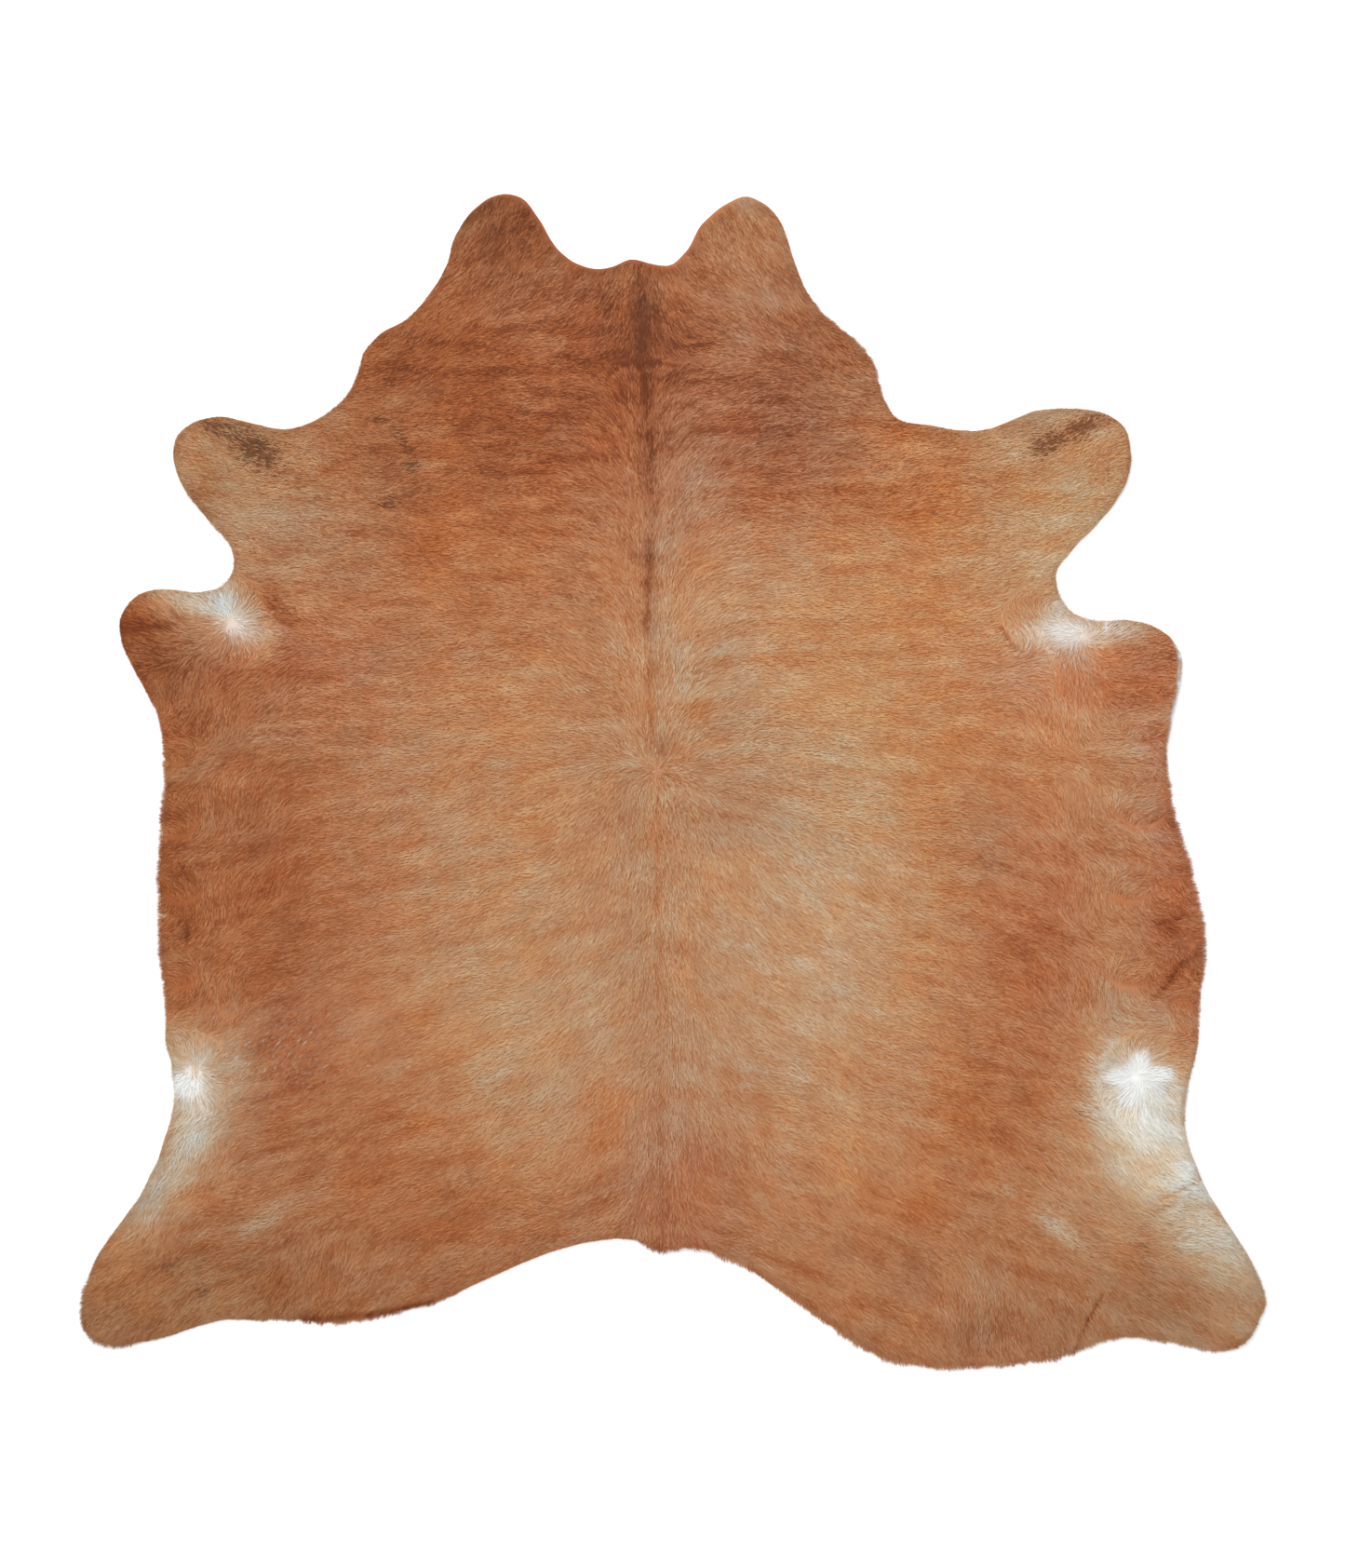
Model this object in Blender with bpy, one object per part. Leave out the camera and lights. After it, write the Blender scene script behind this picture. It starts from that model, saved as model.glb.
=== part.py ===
# Cowhide rug laid flat, hair side up.
# One tanned skin, cut from the animal in one piece and trimmed with a knife: no lining, no binding, no seam.
# Metres. +Z is up (the hair side), +Y points to the neck, +X to the right seen from above.
# The origin lies under the middle of the outline's box, on the surface that the hide rests on.

import math
from collections import namedtuple

import bmesh
import bpy
import numpy as np
from mathutils import Vector
from mathutils.geometry import delaunay_2d_cdt
from mathutils.kdtree import KDTree

# Driving sizes
SKIN_THICKNESS = 0.003      # leather with the packed roots of the coat
RIM_STEP = 0.011            # spacing of the points along the trimmed edge
FIELD_STEP = 0.052          # spacing of the points on the flat of the hide
RIM_CLEARANCE = 0.010       # fold points stay this far from the edge's points
FIELD_RIM_SHARE = 0.5       # field points stay this share of their spacing from them
FOLD_CLEARANCE = 0.018      # field points stay this far from a fold's own points
FOLD_POINT_GAP = 0.005      # two fold points stay this far apart
FLAT_BELOW = 0.0001         # a lift smaller than this counts as lying on the floor
CURVE_STEPS = 24            # steps of the curve between two trim points, before it is respaced

# The trimmed edge, anticlockwise from the tip of the left neck lobe. The edge is a smooth curve
# through these points, each on a grid of 5 mm.
Stretch = namedtuple("Stretch", "part points")
TRIMMED_EDGE = (
    Stretch("left neck lobe", ((-0.300, 1.040), (-0.340, 1.025), (-0.370, 0.995), (-0.390, 0.960),
                               (-0.400, 0.920))),
    Stretch("left of the neck", ((-0.430, 0.865), (-0.465, 0.825), (-0.515, 0.795), (-0.545, 0.765),
                                 (-0.560, 0.725), (-0.575, 0.690), (-0.610, 0.655), (-0.655, 0.630),
                                 (-0.700, 0.625), (-0.770, 0.640))),
    Stretch("left foreleg", ((-0.810, 0.645), (-0.850, 0.635), (-0.880, 0.610), (-0.885, 0.570),
                             (-0.870, 0.520), (-0.820, 0.455), (-0.785, 0.415), (-0.780, 0.375),
                             (-0.800, 0.345), (-0.855, 0.335))),
    Stretch("left elbow lobe", ((-0.915, 0.340), (-0.955, 0.325), (-0.980, 0.290), (-0.980, 0.250),
                                (-0.960, 0.205), (-0.915, 0.115))),
    Stretch("left flank", ((-0.905, 0.040), (-0.905, -0.010), (-0.915, -0.130), (-0.915, -0.260),
                           (-0.910, -0.345), (-0.900, -0.410), (-0.900, -0.465), (-0.890, -0.505),
                           (-0.885, -0.565), (-0.900, -0.630))),
    Stretch("left hind leg", ((-0.935, -0.715), (-0.975, -0.775), (-1.020, -0.840), (-1.045, -0.905),
                              (-1.050, -0.940), (-1.040, -0.980), (-1.005, -1.000), (-0.965, -1.000),
                              (-0.905, -0.985), (-0.800, -0.955))),
    Stretch("left rump", ((-0.740, -0.955), (-0.660, -0.955), (-0.590, -0.960), (-0.505, -0.945),
                          (-0.415, -0.920), (-0.315, -0.875), (-0.245, -0.845), (-0.165, -0.820),
                          (-0.105, -0.810))),
    Stretch("root of the tail", ((-0.060, -0.815), (-0.025, -0.835), (0.020, -0.830), (0.070, -0.840),
                                 (0.130, -0.865), (0.185, -0.900))),
    Stretch("right rump", ((0.250, -0.950), (0.315, -0.995), (0.380, -1.030), (0.450, -1.040),
                           (0.560, -1.040), (0.640, -1.030), (0.710, -1.015), (0.765, -0.995),
                           (0.805, -0.990), (0.865, -0.995))),
    Stretch("right hind leg", ((0.925, -1.005), (0.975, -1.010), (1.015, -0.995), (1.040, -0.955),
                               (1.050, -0.920), (1.025, -0.850), (0.980, -0.780), (0.940, -0.715),
                               (0.910, -0.640), (0.905, -0.590))),
    Stretch("right flank", ((0.915, -0.525), (0.930, -0.470), (0.935, -0.390), (0.945, -0.300),
                            (0.940, -0.240), (0.920, -0.155), (0.890, -0.045), (0.875, 0.035),
                            (0.885, 0.115), (0.895, 0.165))),
    Stretch("right elbow lobe", ((0.900, 0.210), (0.885, 0.250), (0.850, 0.275), (0.800, 0.285),
                                 (0.740, 0.285), (0.700, 0.305), (0.680, 0.340), (0.680, 0.375))),
    Stretch("right foreleg", ((0.705, 0.410), (0.755, 0.460), (0.800, 0.525), (0.810, 0.575),
                              (0.800, 0.625), (0.770, 0.650), (0.700, 0.660), (0.640, 0.655),
                              (0.560, 0.625), (0.515, 0.620), (0.455, 0.630))),
    Stretch("right of the neck", ((0.400, 0.640), (0.375, 0.670), (0.365, 0.705), (0.355, 0.740),
                                  (0.325, 0.780), (0.260, 0.835), (0.230, 0.880))),
    Stretch("right neck lobe", ((0.205, 0.950), (0.190, 0.990), (0.165, 1.020), (0.130, 1.035),
                                (0.090, 1.020), (0.050, 0.985), (0.020, 0.935), (-0.005, 0.915))),
    Stretch("hollow of the neck", ((-0.035, 0.915), (-0.075, 0.925), (-0.110, 0.910), (-0.150, 0.910),
                                   (-0.185, 0.925), (-0.215, 0.955), (-0.240, 1.000), (-0.265, 1.030))),
)

# Where the hide does not lie quite flat. A crease is a valley that lies on the floor between two soft
# ridges, and a swell is one soft ridge. Each runs from start to end. Width is the distance from its middle
# line to the top of a crease's ridge, or to where a swell has fallen to about a third of its height.
Fold = namedtuple("Fold", "name form start end width height")
FOLDS = (
    Fold("crease across the neck", "crease", (-0.137, 0.721), (0.033, 0.748), 0.011, 0.0035),
    Fold("hollow along the neck", "crease", (-0.060, 0.881), (-0.040, 0.611), 0.016, 0.0020),
    Fold("wrinkle at the left elbow", "crease", (-0.704, 0.297), (-0.669, 0.257), 0.009, 0.0025),
    Fold("wrinkle at the right elbow", "crease", (0.584, 0.271), (0.606, 0.229), 0.009, 0.0025),
    Fold("upper wrinkle of the right belly", "crease", (0.853, -0.248), (0.918, -0.225), 0.011, 0.0030),
    Fold("lower wrinkle of the right belly", "crease", (0.850, -0.387), (0.938, -0.301), 0.012, 0.0035),
    Fold("crease of the right flank", "crease", (0.850, -0.741), (0.934, -0.702), 0.010, 0.0050),
    Fold("lower crease of the right flank", "crease", (0.816, -0.777), (0.886, -0.751), 0.010, 0.0030),
    Fold("crease of the right hind leg", "crease", (0.761, -0.907), (0.720, -1.009), 0.010, 0.0045),
    Fold("upper crease of the left hind leg", "crease", (-0.974, -0.774), (-0.878, -0.759), 0.009, 0.0030),
    Fold("lower crease of the left hind leg", "crease", (-0.834, -0.884), (-0.810, -0.921), 0.008, 0.0025),
    Fold("rolled hem of the left rump", "swell", (-0.660, -0.926), (-0.440, -0.898), 0.020, 0.0080),
    Fold("long fold of the right rump", "swell", (0.300, -0.942), (0.560, -0.962), 0.022, 0.0030),
    Fold("lifted edge of the right elbow", "swell", (0.898, 0.215), (0.884, 0.050), 0.028, 0.0060),
    Fold("lifted edge of the right flank", "swell", (0.912, -0.560), (0.928, -0.680), 0.024, 0.0055),
    Fold("lifted edge of the left flank", "swell", (-0.912, -0.120), (-0.912, -0.300), 0.030, 0.0040),
    Fold("tip of the left neck lobe", "swell", (-0.315, 1.020), (-0.275, 1.020), 0.035, 0.0050),
    Fold("tip of the right neck lobe", "swell", (0.125, 1.015), (0.155, 1.010), 0.035, 0.0050),
    Fold("tip of the left foreleg", "swell", (-0.860, 0.600), (-0.850, 0.530), 0.045, 0.0050),
    Fold("tip of the right foreleg", "swell", (0.795, 0.600), (0.790, 0.530), 0.045, 0.0050),
    Fold("tip of the left elbow", "swell", (-0.955, 0.290), (-0.955, 0.235), 0.040, 0.0050),
    Fold("tip of the left hind leg", "swell", (-1.030, -0.910), (-1.015, -0.975), 0.050, 0.0060),
    Fold("tip of the right hind leg", "swell", (1.035, -0.900), (1.015, -0.975), 0.050, 0.0060),
    Fold("root of the tail", "swell", (-0.030, -0.820), (0.050, -0.825), 0.035, 0.0040),
)

# A row of points runs along each fold at each of these distances from its middle line, in widths.
ROWS_ACROSS = {
    "crease": (-2.2, -1.5, -1.0, -0.5, 0.0, 0.5, 1.0, 1.5, 2.2),
    "swell": (-2.0, -1.2, -0.6, 0.0, 0.6, 1.2, 2.0),
}
ROW_STEP = {"crease": 1.2, "swell": 0.9}    # spacing along a row, in widths

COAT_COLOUR = (0.370, 0.165, 0.075, 1.0)
COAT_ROUGHNESS = 0.75


def clear_objects():
    """Empties the scene."""
    for item in list(bpy.data.objects):
        bpy.data.objects.remove(item, do_unlink=True)


def smooth_curve(corners):
    """Points of a closed centripetal Catmull-Rom curve through the corners."""
    ahead = np.roll(corners, -1, axis=0) - corners
    gap = np.sqrt(np.linalg.norm(ahead, axis=1))[:, None]
    gap_before = np.roll(gap, 1, axis=0)
    slope = ahead / gap
    slope_before = np.roll(slope, 1, axis=0)
    tangent = slope_before + slope - (slope * gap + slope_before * gap_before) / (gap + gap_before)
    start_pull = gap * tangent
    end_pull = gap * np.roll(tangent, -1, axis=0)
    end = np.roll(corners, -1, axis=0)
    steps = []
    for s in np.linspace(0.0, 1.0, CURVE_STEPS, endpoint=False):
        turn = 3 * s**2 - 2 * s**3
        steps.append((1 - turn) * corners + turn * end
                     + (s**3 - 2 * s**2 + s) * start_pull + (s**3 - s**2) * end_pull)
    return np.stack(steps, axis=1).reshape(-1, 2)


def respaced(curve, step):
    """Evenly spaced points, about a step apart, along a closed curve."""
    closed = np.vstack([curve, curve[:1]])
    run = np.concatenate([[0.0], np.cumsum(np.linalg.norm(np.diff(closed, axis=0), axis=1))])
    stations = np.linspace(0.0, run[-1], round(run[-1] / step), endpoint=False)
    return np.stack([np.interp(stations, run, closed[:, axis]) for axis in (0, 1)], axis=1)


def trimmed_edge():
    """The hide's edge as evenly spaced points, and the shift that centres its box on the origin."""
    corners = np.array([point for stretch in TRIMMED_EDGE for point in stretch.points])
    edge = respaced(smooth_curve(corners), RIM_STEP)
    middle = (edge.min(axis=0) + edge.max(axis=0)) / 2
    return edge - middle, -middle


def fold_axes(fold, shift):
    """A fold's start, its length and the unit directions along and across it."""
    start = np.array(fold.start) + shift
    along = np.array(fold.end) + shift - start
    length = np.linalg.norm(along)
    along = along / length
    return start, length, along, np.array((-along[1], along[0]))


def lift(points, shift):
    """How far the folds raise the underside off the floor at each point."""
    height = np.zeros(len(points))
    for fold in FOLDS:
        start, length, along, across = fold_axes(fold, shift)
        run = (points - start) @ along
        beyond = np.maximum(np.maximum(-run, run - length), 0.0) / fold.width
        side = ((points - start) @ across / fold.width) ** 2
        ridge = side * np.exp(1.0 - side) if fold.form == "crease" else np.exp(-side)
        height += fold.height * ridge * np.exp(-beyond**2)
    return np.where(height < FLAT_BELOW, 0.0, height)


def fold_points(shift):
    """Rows of points along every fold, close enough to hold its shape."""
    rows = []
    for fold in FOLDS:
        start, length, along, across = fold_axes(fold, shift)
        reach = length + 2 * fold.width
        count = max(round(reach / (ROW_STEP[fold.form] * fold.width)), 2)
        runs = np.linspace(-fold.width, length + fold.width, count + 1)
        for offset in ROWS_ACROSS[fold.form]:
            rows.append(start + np.outer(runs, along) + offset * fold.width * across)
    return np.vstack(rows)


def field_points(edge):
    """A staggered grid over the hide's box."""
    low, high = edge.min(axis=0), edge.max(axis=0)
    rows = []
    for index, y in enumerate(np.arange(low[1], high[1], FIELD_STEP * math.sqrt(3) / 2)):
        across = np.arange(low[0], high[0], FIELD_STEP) + (index % 2) * FIELD_STEP / 2
        rows.append(np.stack([across, np.full(len(across), y)], axis=1))
    return np.vstack(rows)


def within(points, edge):
    """True for each point that lies inside the closed edge."""
    x, y = points[:, :1], points[:, 1:]
    start, end = edge, np.roll(edge, -1, axis=0)
    spans = (start[:, 1] > y) != (end[:, 1] > y)
    rise = np.where(end[:, 1] == start[:, 1], 1.0, end[:, 1] - start[:, 1])
    crossing = start[:, 0] + (y - start[:, 1]) / rise * (end[:, 0] - start[:, 0])
    return (spans & (crossing > x)).sum(axis=1) % 2 == 1


def clear_of(points, taken, distance):
    """The points that keep a distance from all that are taken."""
    tree = KDTree(len(taken))
    for index, point in enumerate(taken):
        tree.insert((point[0], point[1], 0.0), index)
    tree.balance()
    near = np.array([tree.find((x, y, 0.0))[2] for x, y in points])
    return points[near > distance]


def thinned(points, distance):
    """The points in order, without any that lies too near an earlier one."""
    kept = []
    for point in points:
        if all(np.hypot(*(point - other)) > distance for other in kept):
            kept.append(point)
    return np.array(kept)


def skin_mesh():
    """The skin: triangles inside the edge, raised by the folds, with an upper side and an edge wall."""
    edge, shift = trimmed_edge()
    folds = fold_points(shift)
    folds = thinned(clear_of(folds[within(folds, edge)], edge, RIM_CLEARANCE), FOLD_POINT_GAP)
    field = field_points(edge)
    field = clear_of(field[within(field, edge)], edge, FIELD_STEP * FIELD_RIM_SHARE)
    field = clear_of(field, folds, FOLD_CLEARANCE)
    flat = np.vstack([edge, folds, field])
    around = list(range(len(edge)))
    corners, _, triangles, *_ = delaunay_2d_cdt([Vector(p) for p in flat], [], [around], 1, 1e-7)
    if len(corners) != len(flat):
        raise ValueError("the edge crosses itself or two points fall together")
    corners = np.array([tuple(p) for p in corners])
    raised = lift(corners, shift)
    bm = bmesh.new()
    under = [bm.verts.new((x, y, z)) for (x, y), z in zip(corners, raised)]
    over = [bm.verts.new((x, y, z + SKIN_THICKNESS)) for (x, y), z in zip(corners, raised)]
    for triangle in triangles:
        bm.faces.new([over[i] for i in triangle])
        bm.faces.new([under[i] for i in reversed(triangle)])
    for here, after in zip(around, around[1:] + around[:1]):
        bm.faces.new((under[here], under[after], over[after], over[here]))
    bmesh.ops.recalc_face_normals(bm, faces=bm.faces)
    bmesh.ops.triangulate(bm, faces=bm.faces)
    mesh = bpy.data.meshes.new("cowhide")
    bm.to_mesh(mesh)
    bm.free()
    return mesh


def coat_material():
    """Caramel hair over tanned skin."""
    material = bpy.data.materials.new("coat")
    material.use_nodes = True
    surface = material.node_tree.nodes["Principled BSDF"]
    surface.inputs["Base Color"].default_value = COAT_COLOUR
    surface.inputs["Roughness"].default_value = COAT_ROUGHNESS
    surface.inputs["Metallic"].default_value = 0.0
    return material


def build_cowhide():
    """The one piece: the hide."""
    mesh = skin_mesh()
    mesh.materials.append(coat_material())
    mesh.shade_smooth()
    mesh.set_sharp_from_angle(angle=math.radians(35))
    hide = bpy.data.objects.new("cowhide", mesh)
    bpy.context.scene.collection.objects.link(hide)


clear_objects()
build_cowhide()
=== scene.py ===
"""Dresses the cowhide rug: one tanned skin that lies flat, and its coat of short brindled hair.

Metres. +Z is up from the floor to the hair side, +Y points to the neck and +X to the right, seen from
above. The skin is a thin sheet on the frame's own folds. The coat is read from short tables: how the
hair is combed, where it is light, dark or white, and where it stands out past the trimmed edge. Every
strand lies along the combing and takes its colour at its root.
"""

import logging
import math
from dataclasses import dataclass, field
from enum import Enum
from typing import NamedTuple

import bpy
import numpy as np
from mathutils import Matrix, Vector
from mathutils.bvhtree import BVHTree
from mathutils.kdtree import KDTree


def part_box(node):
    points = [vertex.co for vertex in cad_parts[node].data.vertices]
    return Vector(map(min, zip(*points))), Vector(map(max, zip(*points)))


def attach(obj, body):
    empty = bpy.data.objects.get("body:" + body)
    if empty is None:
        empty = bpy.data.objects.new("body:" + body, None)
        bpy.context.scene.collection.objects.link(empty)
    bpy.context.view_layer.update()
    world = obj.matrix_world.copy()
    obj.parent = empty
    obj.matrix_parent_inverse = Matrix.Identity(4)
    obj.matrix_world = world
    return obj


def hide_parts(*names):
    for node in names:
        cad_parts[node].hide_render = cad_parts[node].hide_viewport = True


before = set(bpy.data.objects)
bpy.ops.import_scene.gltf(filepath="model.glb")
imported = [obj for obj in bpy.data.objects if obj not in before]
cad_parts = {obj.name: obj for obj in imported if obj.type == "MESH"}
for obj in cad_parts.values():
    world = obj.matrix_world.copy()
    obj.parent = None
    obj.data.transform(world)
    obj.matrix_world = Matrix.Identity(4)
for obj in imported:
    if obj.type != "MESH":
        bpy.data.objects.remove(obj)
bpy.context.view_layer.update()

LOG = logging.getLogger("cowhide")
SEED = 20                   # of every random draw
ROOT_BODY = "root"
HIDE_NODE = "cowhide"
FULL = 255.0                # the brightest step of a display
DARKEST, LIGHTEST = 60.0, 240.0     # display steps at the two ends of the coat's ramp
DARK_DROP = 26.0            # display steps from the coat to one of its dark hairs
HAIR_SIDE_TILT = 0.5        # faces whose normals point up by more than this are the hair side

Array = np.ndarray
Steps = tuple[int, int, int]


class SpinePoint(NamedTuple):
    """Where the line of the back lies."""

    name: str
    y: float
    x: float


SPINE = (
    SpinePoint("tail", -0.825, -0.021),
    SpinePoint("loin", -0.430, -0.024),
    SpinePoint("whorl", 0.020, -0.029),
    SpinePoint("shoulders", 0.315, -0.040),
    SpinePoint("withers", 0.560, -0.042),
    SpinePoint("neck crease", 0.740, -0.054),
    SpinePoint("neck", 0.915, -0.056),
)


class FanRow(NamedTuple):
    """How the hair fans out from the spine at one level, in degrees from straight outwards to the neck."""

    name: str
    y: float
    near: float
    middle: float
    far: float


FAN = (
    FanRow("hem", -0.990, -85, -60, -40),
    FanRow("rump", -0.825, -85, -30, -28),
    FanRow("hips", -0.720, -80, -45, -28),
    FanRow("loin", -0.515, -75, -50, -25),
    FanRow("back", -0.250, -75, -50, -24),
    FanRow("upper back", -0.100, -75, -52, -20),
    FanRow("just below the whorl", -0.020, -75, -40, -18),
    FanRow("whorl", 0.022, -20, -12, -17),
    FanRow("just above the whorl", 0.050, 70, 12, -8),
    FanRow("ribs", 0.130, 72, 18, 0),
    FanRow("shoulders", 0.395, 72, 22, 4),
    FanRow("withers", 0.600, 72, 28, 0),
    FanRow("below the neck crease", 0.680, 65, 10, 0),
    FanRow("just below the neck crease", 0.735, 55, 5, 3),
    FanRow("just above the neck crease", 0.755, -65, -10, 0),
    FanRow("middle of the neck", 0.810, -75, -25, -8),
    FanRow("top of the neck", 0.890, -75, -40, -25),
    FanRow("tips of the neck", 1.030, -70, -60, -50),
)
STRIPE_LEAN = 0.5           # how much of the fan's lean, far from the spine, the brindle's stripes have


class CombRow(NamedTuple):
    """The way the hair points around one place, in degrees from +X towards +Y, and how far that holds."""

    name: str
    x: float
    y: float
    heading: float
    reach: float


COMB = (
    CombRow("left flank band, shoulder", -0.800, 0.130, -95, 0.050),
    CombRow("left flank band, ribs", -0.800, -0.035, -90, 0.050),
    CombRow("left flank band, loin", -0.800, -0.200, -92, 0.050),
    CombRow("left flank band, hip", -0.790, -0.365, -95, 0.050),
    CombRow("inside the left band, shoulder", -0.715, 0.165, -130, 0.060),
    CombRow("inside the left band, ribs", -0.715, -0.015, -135, 0.060),
    CombRow("inside the left band, loin", -0.700, -0.180, -150, 0.065),
    CombRow("left belly, shoulder", -0.875, 0.065, -5, 0.035),
    CombRow("left belly, ribs", -0.880, -0.065, -5, 0.035),
    CombRow("left belly, loin", -0.875, -0.180, -30, 0.035),
    CombRow("left belly, hip", -0.875, -0.330, -5, 0.035),
    CombRow("left elbow, upper side", -0.880, 0.315, 145, 0.050),
    CombRow("left elbow, tip", -0.945, 0.245, 150, 0.050),
    CombRow("left elbow, lower edge", -0.920, 0.155, -65, 0.040),
    CombRow("left elbow, below", -0.850, 0.195, -100, 0.040),
    CombRow("left foreleg", -0.805, 0.585, 160, 0.100),
    CombRow("left foreleg, root", -0.755, 0.420, 168, 0.065),
    CombRow("left neck lobe", -0.305, 0.955, -125, 0.085),
    CombRow("left of the neck, above", -0.400, 0.860, -130, 0.085),
    CombRow("left of the neck, below", -0.470, 0.765, -150, 0.085),
    CombRow("left hind leg, top", -0.840, -0.660, -122, 0.060),
    CombRow("left hind leg, middle", -0.915, -0.775, -128, 0.060),
    CombRow("left hind leg, foot", -0.980, -0.890, -140, 0.065),
    CombRow("left hind leg, back", -0.865, -0.925, -145, 0.065),
    CombRow("left hind leg, tip", -1.020, -0.975, -150, 0.050),
    CombRow("left rump, inner", -0.615, -0.830, -92, 0.055),
    CombRow("left rump, middle", -0.480, -0.840, -140, 0.080),
    CombRow("left rump, above", -0.560, -0.730, -165, 0.080),
    CombRow("left rump, outer", -0.650, -0.890, -120, 0.075),
    CombRow("left hip", -0.700, -0.760, -150, 0.065),
    CombRow("left of the tail", -0.230, -0.800, -155, 0.080),
    CombRow("left of the loin", -0.300, -0.620, -150, 0.080),
    CombRow("right flank band, shoulder", 0.705, 0.115, -88, 0.050),
    CombRow("right flank band, ribs", 0.710, -0.035, -90, 0.050),
    CombRow("right flank band, loin", 0.720, -0.200, -90, 0.050),
    CombRow("right flank band, hip", 0.730, -0.365, -88, 0.050),
    CombRow("inside the right band, shoulder", 0.650, 0.115, -52, 0.045),
    CombRow("inside the right band, ribs", 0.650, -0.100, -50, 0.045),
    CombRow("inside the right band, hip", 0.655, -0.345, -50, 0.045),
    CombRow("right belly, shoulder", 0.830, 0.115, 180, 0.050),
    CombRow("right belly, ribs", 0.830, -0.035, 182, 0.050),
    CombRow("right belly, loin", 0.810, -0.180, 185, 0.035),
    CombRow("right belly, hip", 0.810, -0.330, 190, 0.035),
    CombRow("right belly edge, ribs", 0.900, -0.200, 140, 0.035),
    CombRow("right belly edge, loin", 0.900, -0.315, 137, 0.035),
    CombRow("right belly edge, hip", 0.895, -0.415, 130, 0.035),
    CombRow("right elbow, inner side", 0.620, 0.275, 135, 0.045),
    CombRow("right elbow, outer side", 0.795, 0.230, 15, 0.050),
    CombRow("right elbow, tip", 0.855, 0.220, 10, 0.050),
    CombRow("right elbow, below", 0.710, 0.175, -90, 0.040),
    CombRow("right of the back, top", 0.250, -0.200, -36, 0.090),
    CombRow("right of the back, middle", 0.230, -0.330, -42, 0.090),
    CombRow("right of the back, bottom", 0.330, -0.450, -32, 0.090),
    CombRow("right of the loin", 0.300, -0.650, -38, 0.090),
    CombRow("right of the loin, outer", 0.450, -0.720, -38, 0.080),
    CombRow("right of the tail", 0.130, -0.790, -16, 0.060),
    CombRow("right foreleg", 0.720, 0.560, 20, 0.100),
    CombRow("right foreleg, root", 0.655, 0.430, 14, 0.075),
    CombRow("right shoulder", 0.455, 0.530, 5, 0.100),
    CombRow("right neck lobe", 0.125, 0.955, -50, 0.085),
    CombRow("right of the neck, above", 0.210, 0.860, -45, 0.085),
    CombRow("right of the neck, below", 0.290, 0.750, -25, 0.085),
    CombRow("right hind leg, top", 0.810, -0.655, -50, 0.060),
    CombRow("right hind leg, outer", 0.935, -0.760, -22, 0.065),
    CombRow("right hind leg, foot", 0.970, -0.910, -30, 0.065),
    CombRow("right hind leg, middle", 0.835, -0.915, -40, 0.065),
    CombRow("right hind leg, back", 0.705, -0.975, -62, 0.065),
    CombRow("right rump, outer", 0.525, -0.925, -85, 0.075),
    CombRow("right rump, middle", 0.355, -0.875, -45, 0.075),
    CombRow("right rump, inner", 0.225, -0.875, -38, 0.085),
    CombRow("right hip", 0.620, -0.810, -35, 0.065),
)


class BellyStrip(NamedTuple):
    """The strip beyond a flank band, where the hair turns round and grows out to the edge."""

    name: str
    band_x: float
    low_y: float
    high_y: float


BELLY_STRIPS = (
    BellyStrip("left belly", -0.800, -0.440, 0.140),
    BellyStrip("right belly", 0.720, -0.440, 0.140),
)


class Whorl(NamedTuple):
    """A point that the hair radiates from, turned by the swirl in degrees."""

    name: str
    x: float
    y: float
    reach: float
    swirl: float


WHORLS = (
    Whorl("whorl of the back", -0.030, 0.020, 0.040, 0),
    Whorl("left elbow", -0.782, 0.280, 0.070, -8),
    Whorl("right elbow", 0.729, 0.256, 0.075, 22),
    Whorl("left flank", -0.850, -0.512, 0.070, 15),
    Whorl("right flank", 0.822, -0.522, 0.075, -15),
)


class Patch(NamedTuple):
    """A soft oval of the coat that is lighter or darker than the rest, and redder or greyer.

    The radii are along and across its turn, which is in degrees. Light is in display steps, and
    warmth in hundredths.
    """

    name: str
    x: float
    y: float
    along: float
    across: float
    turn: float
    light: float
    warmth: float


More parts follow.
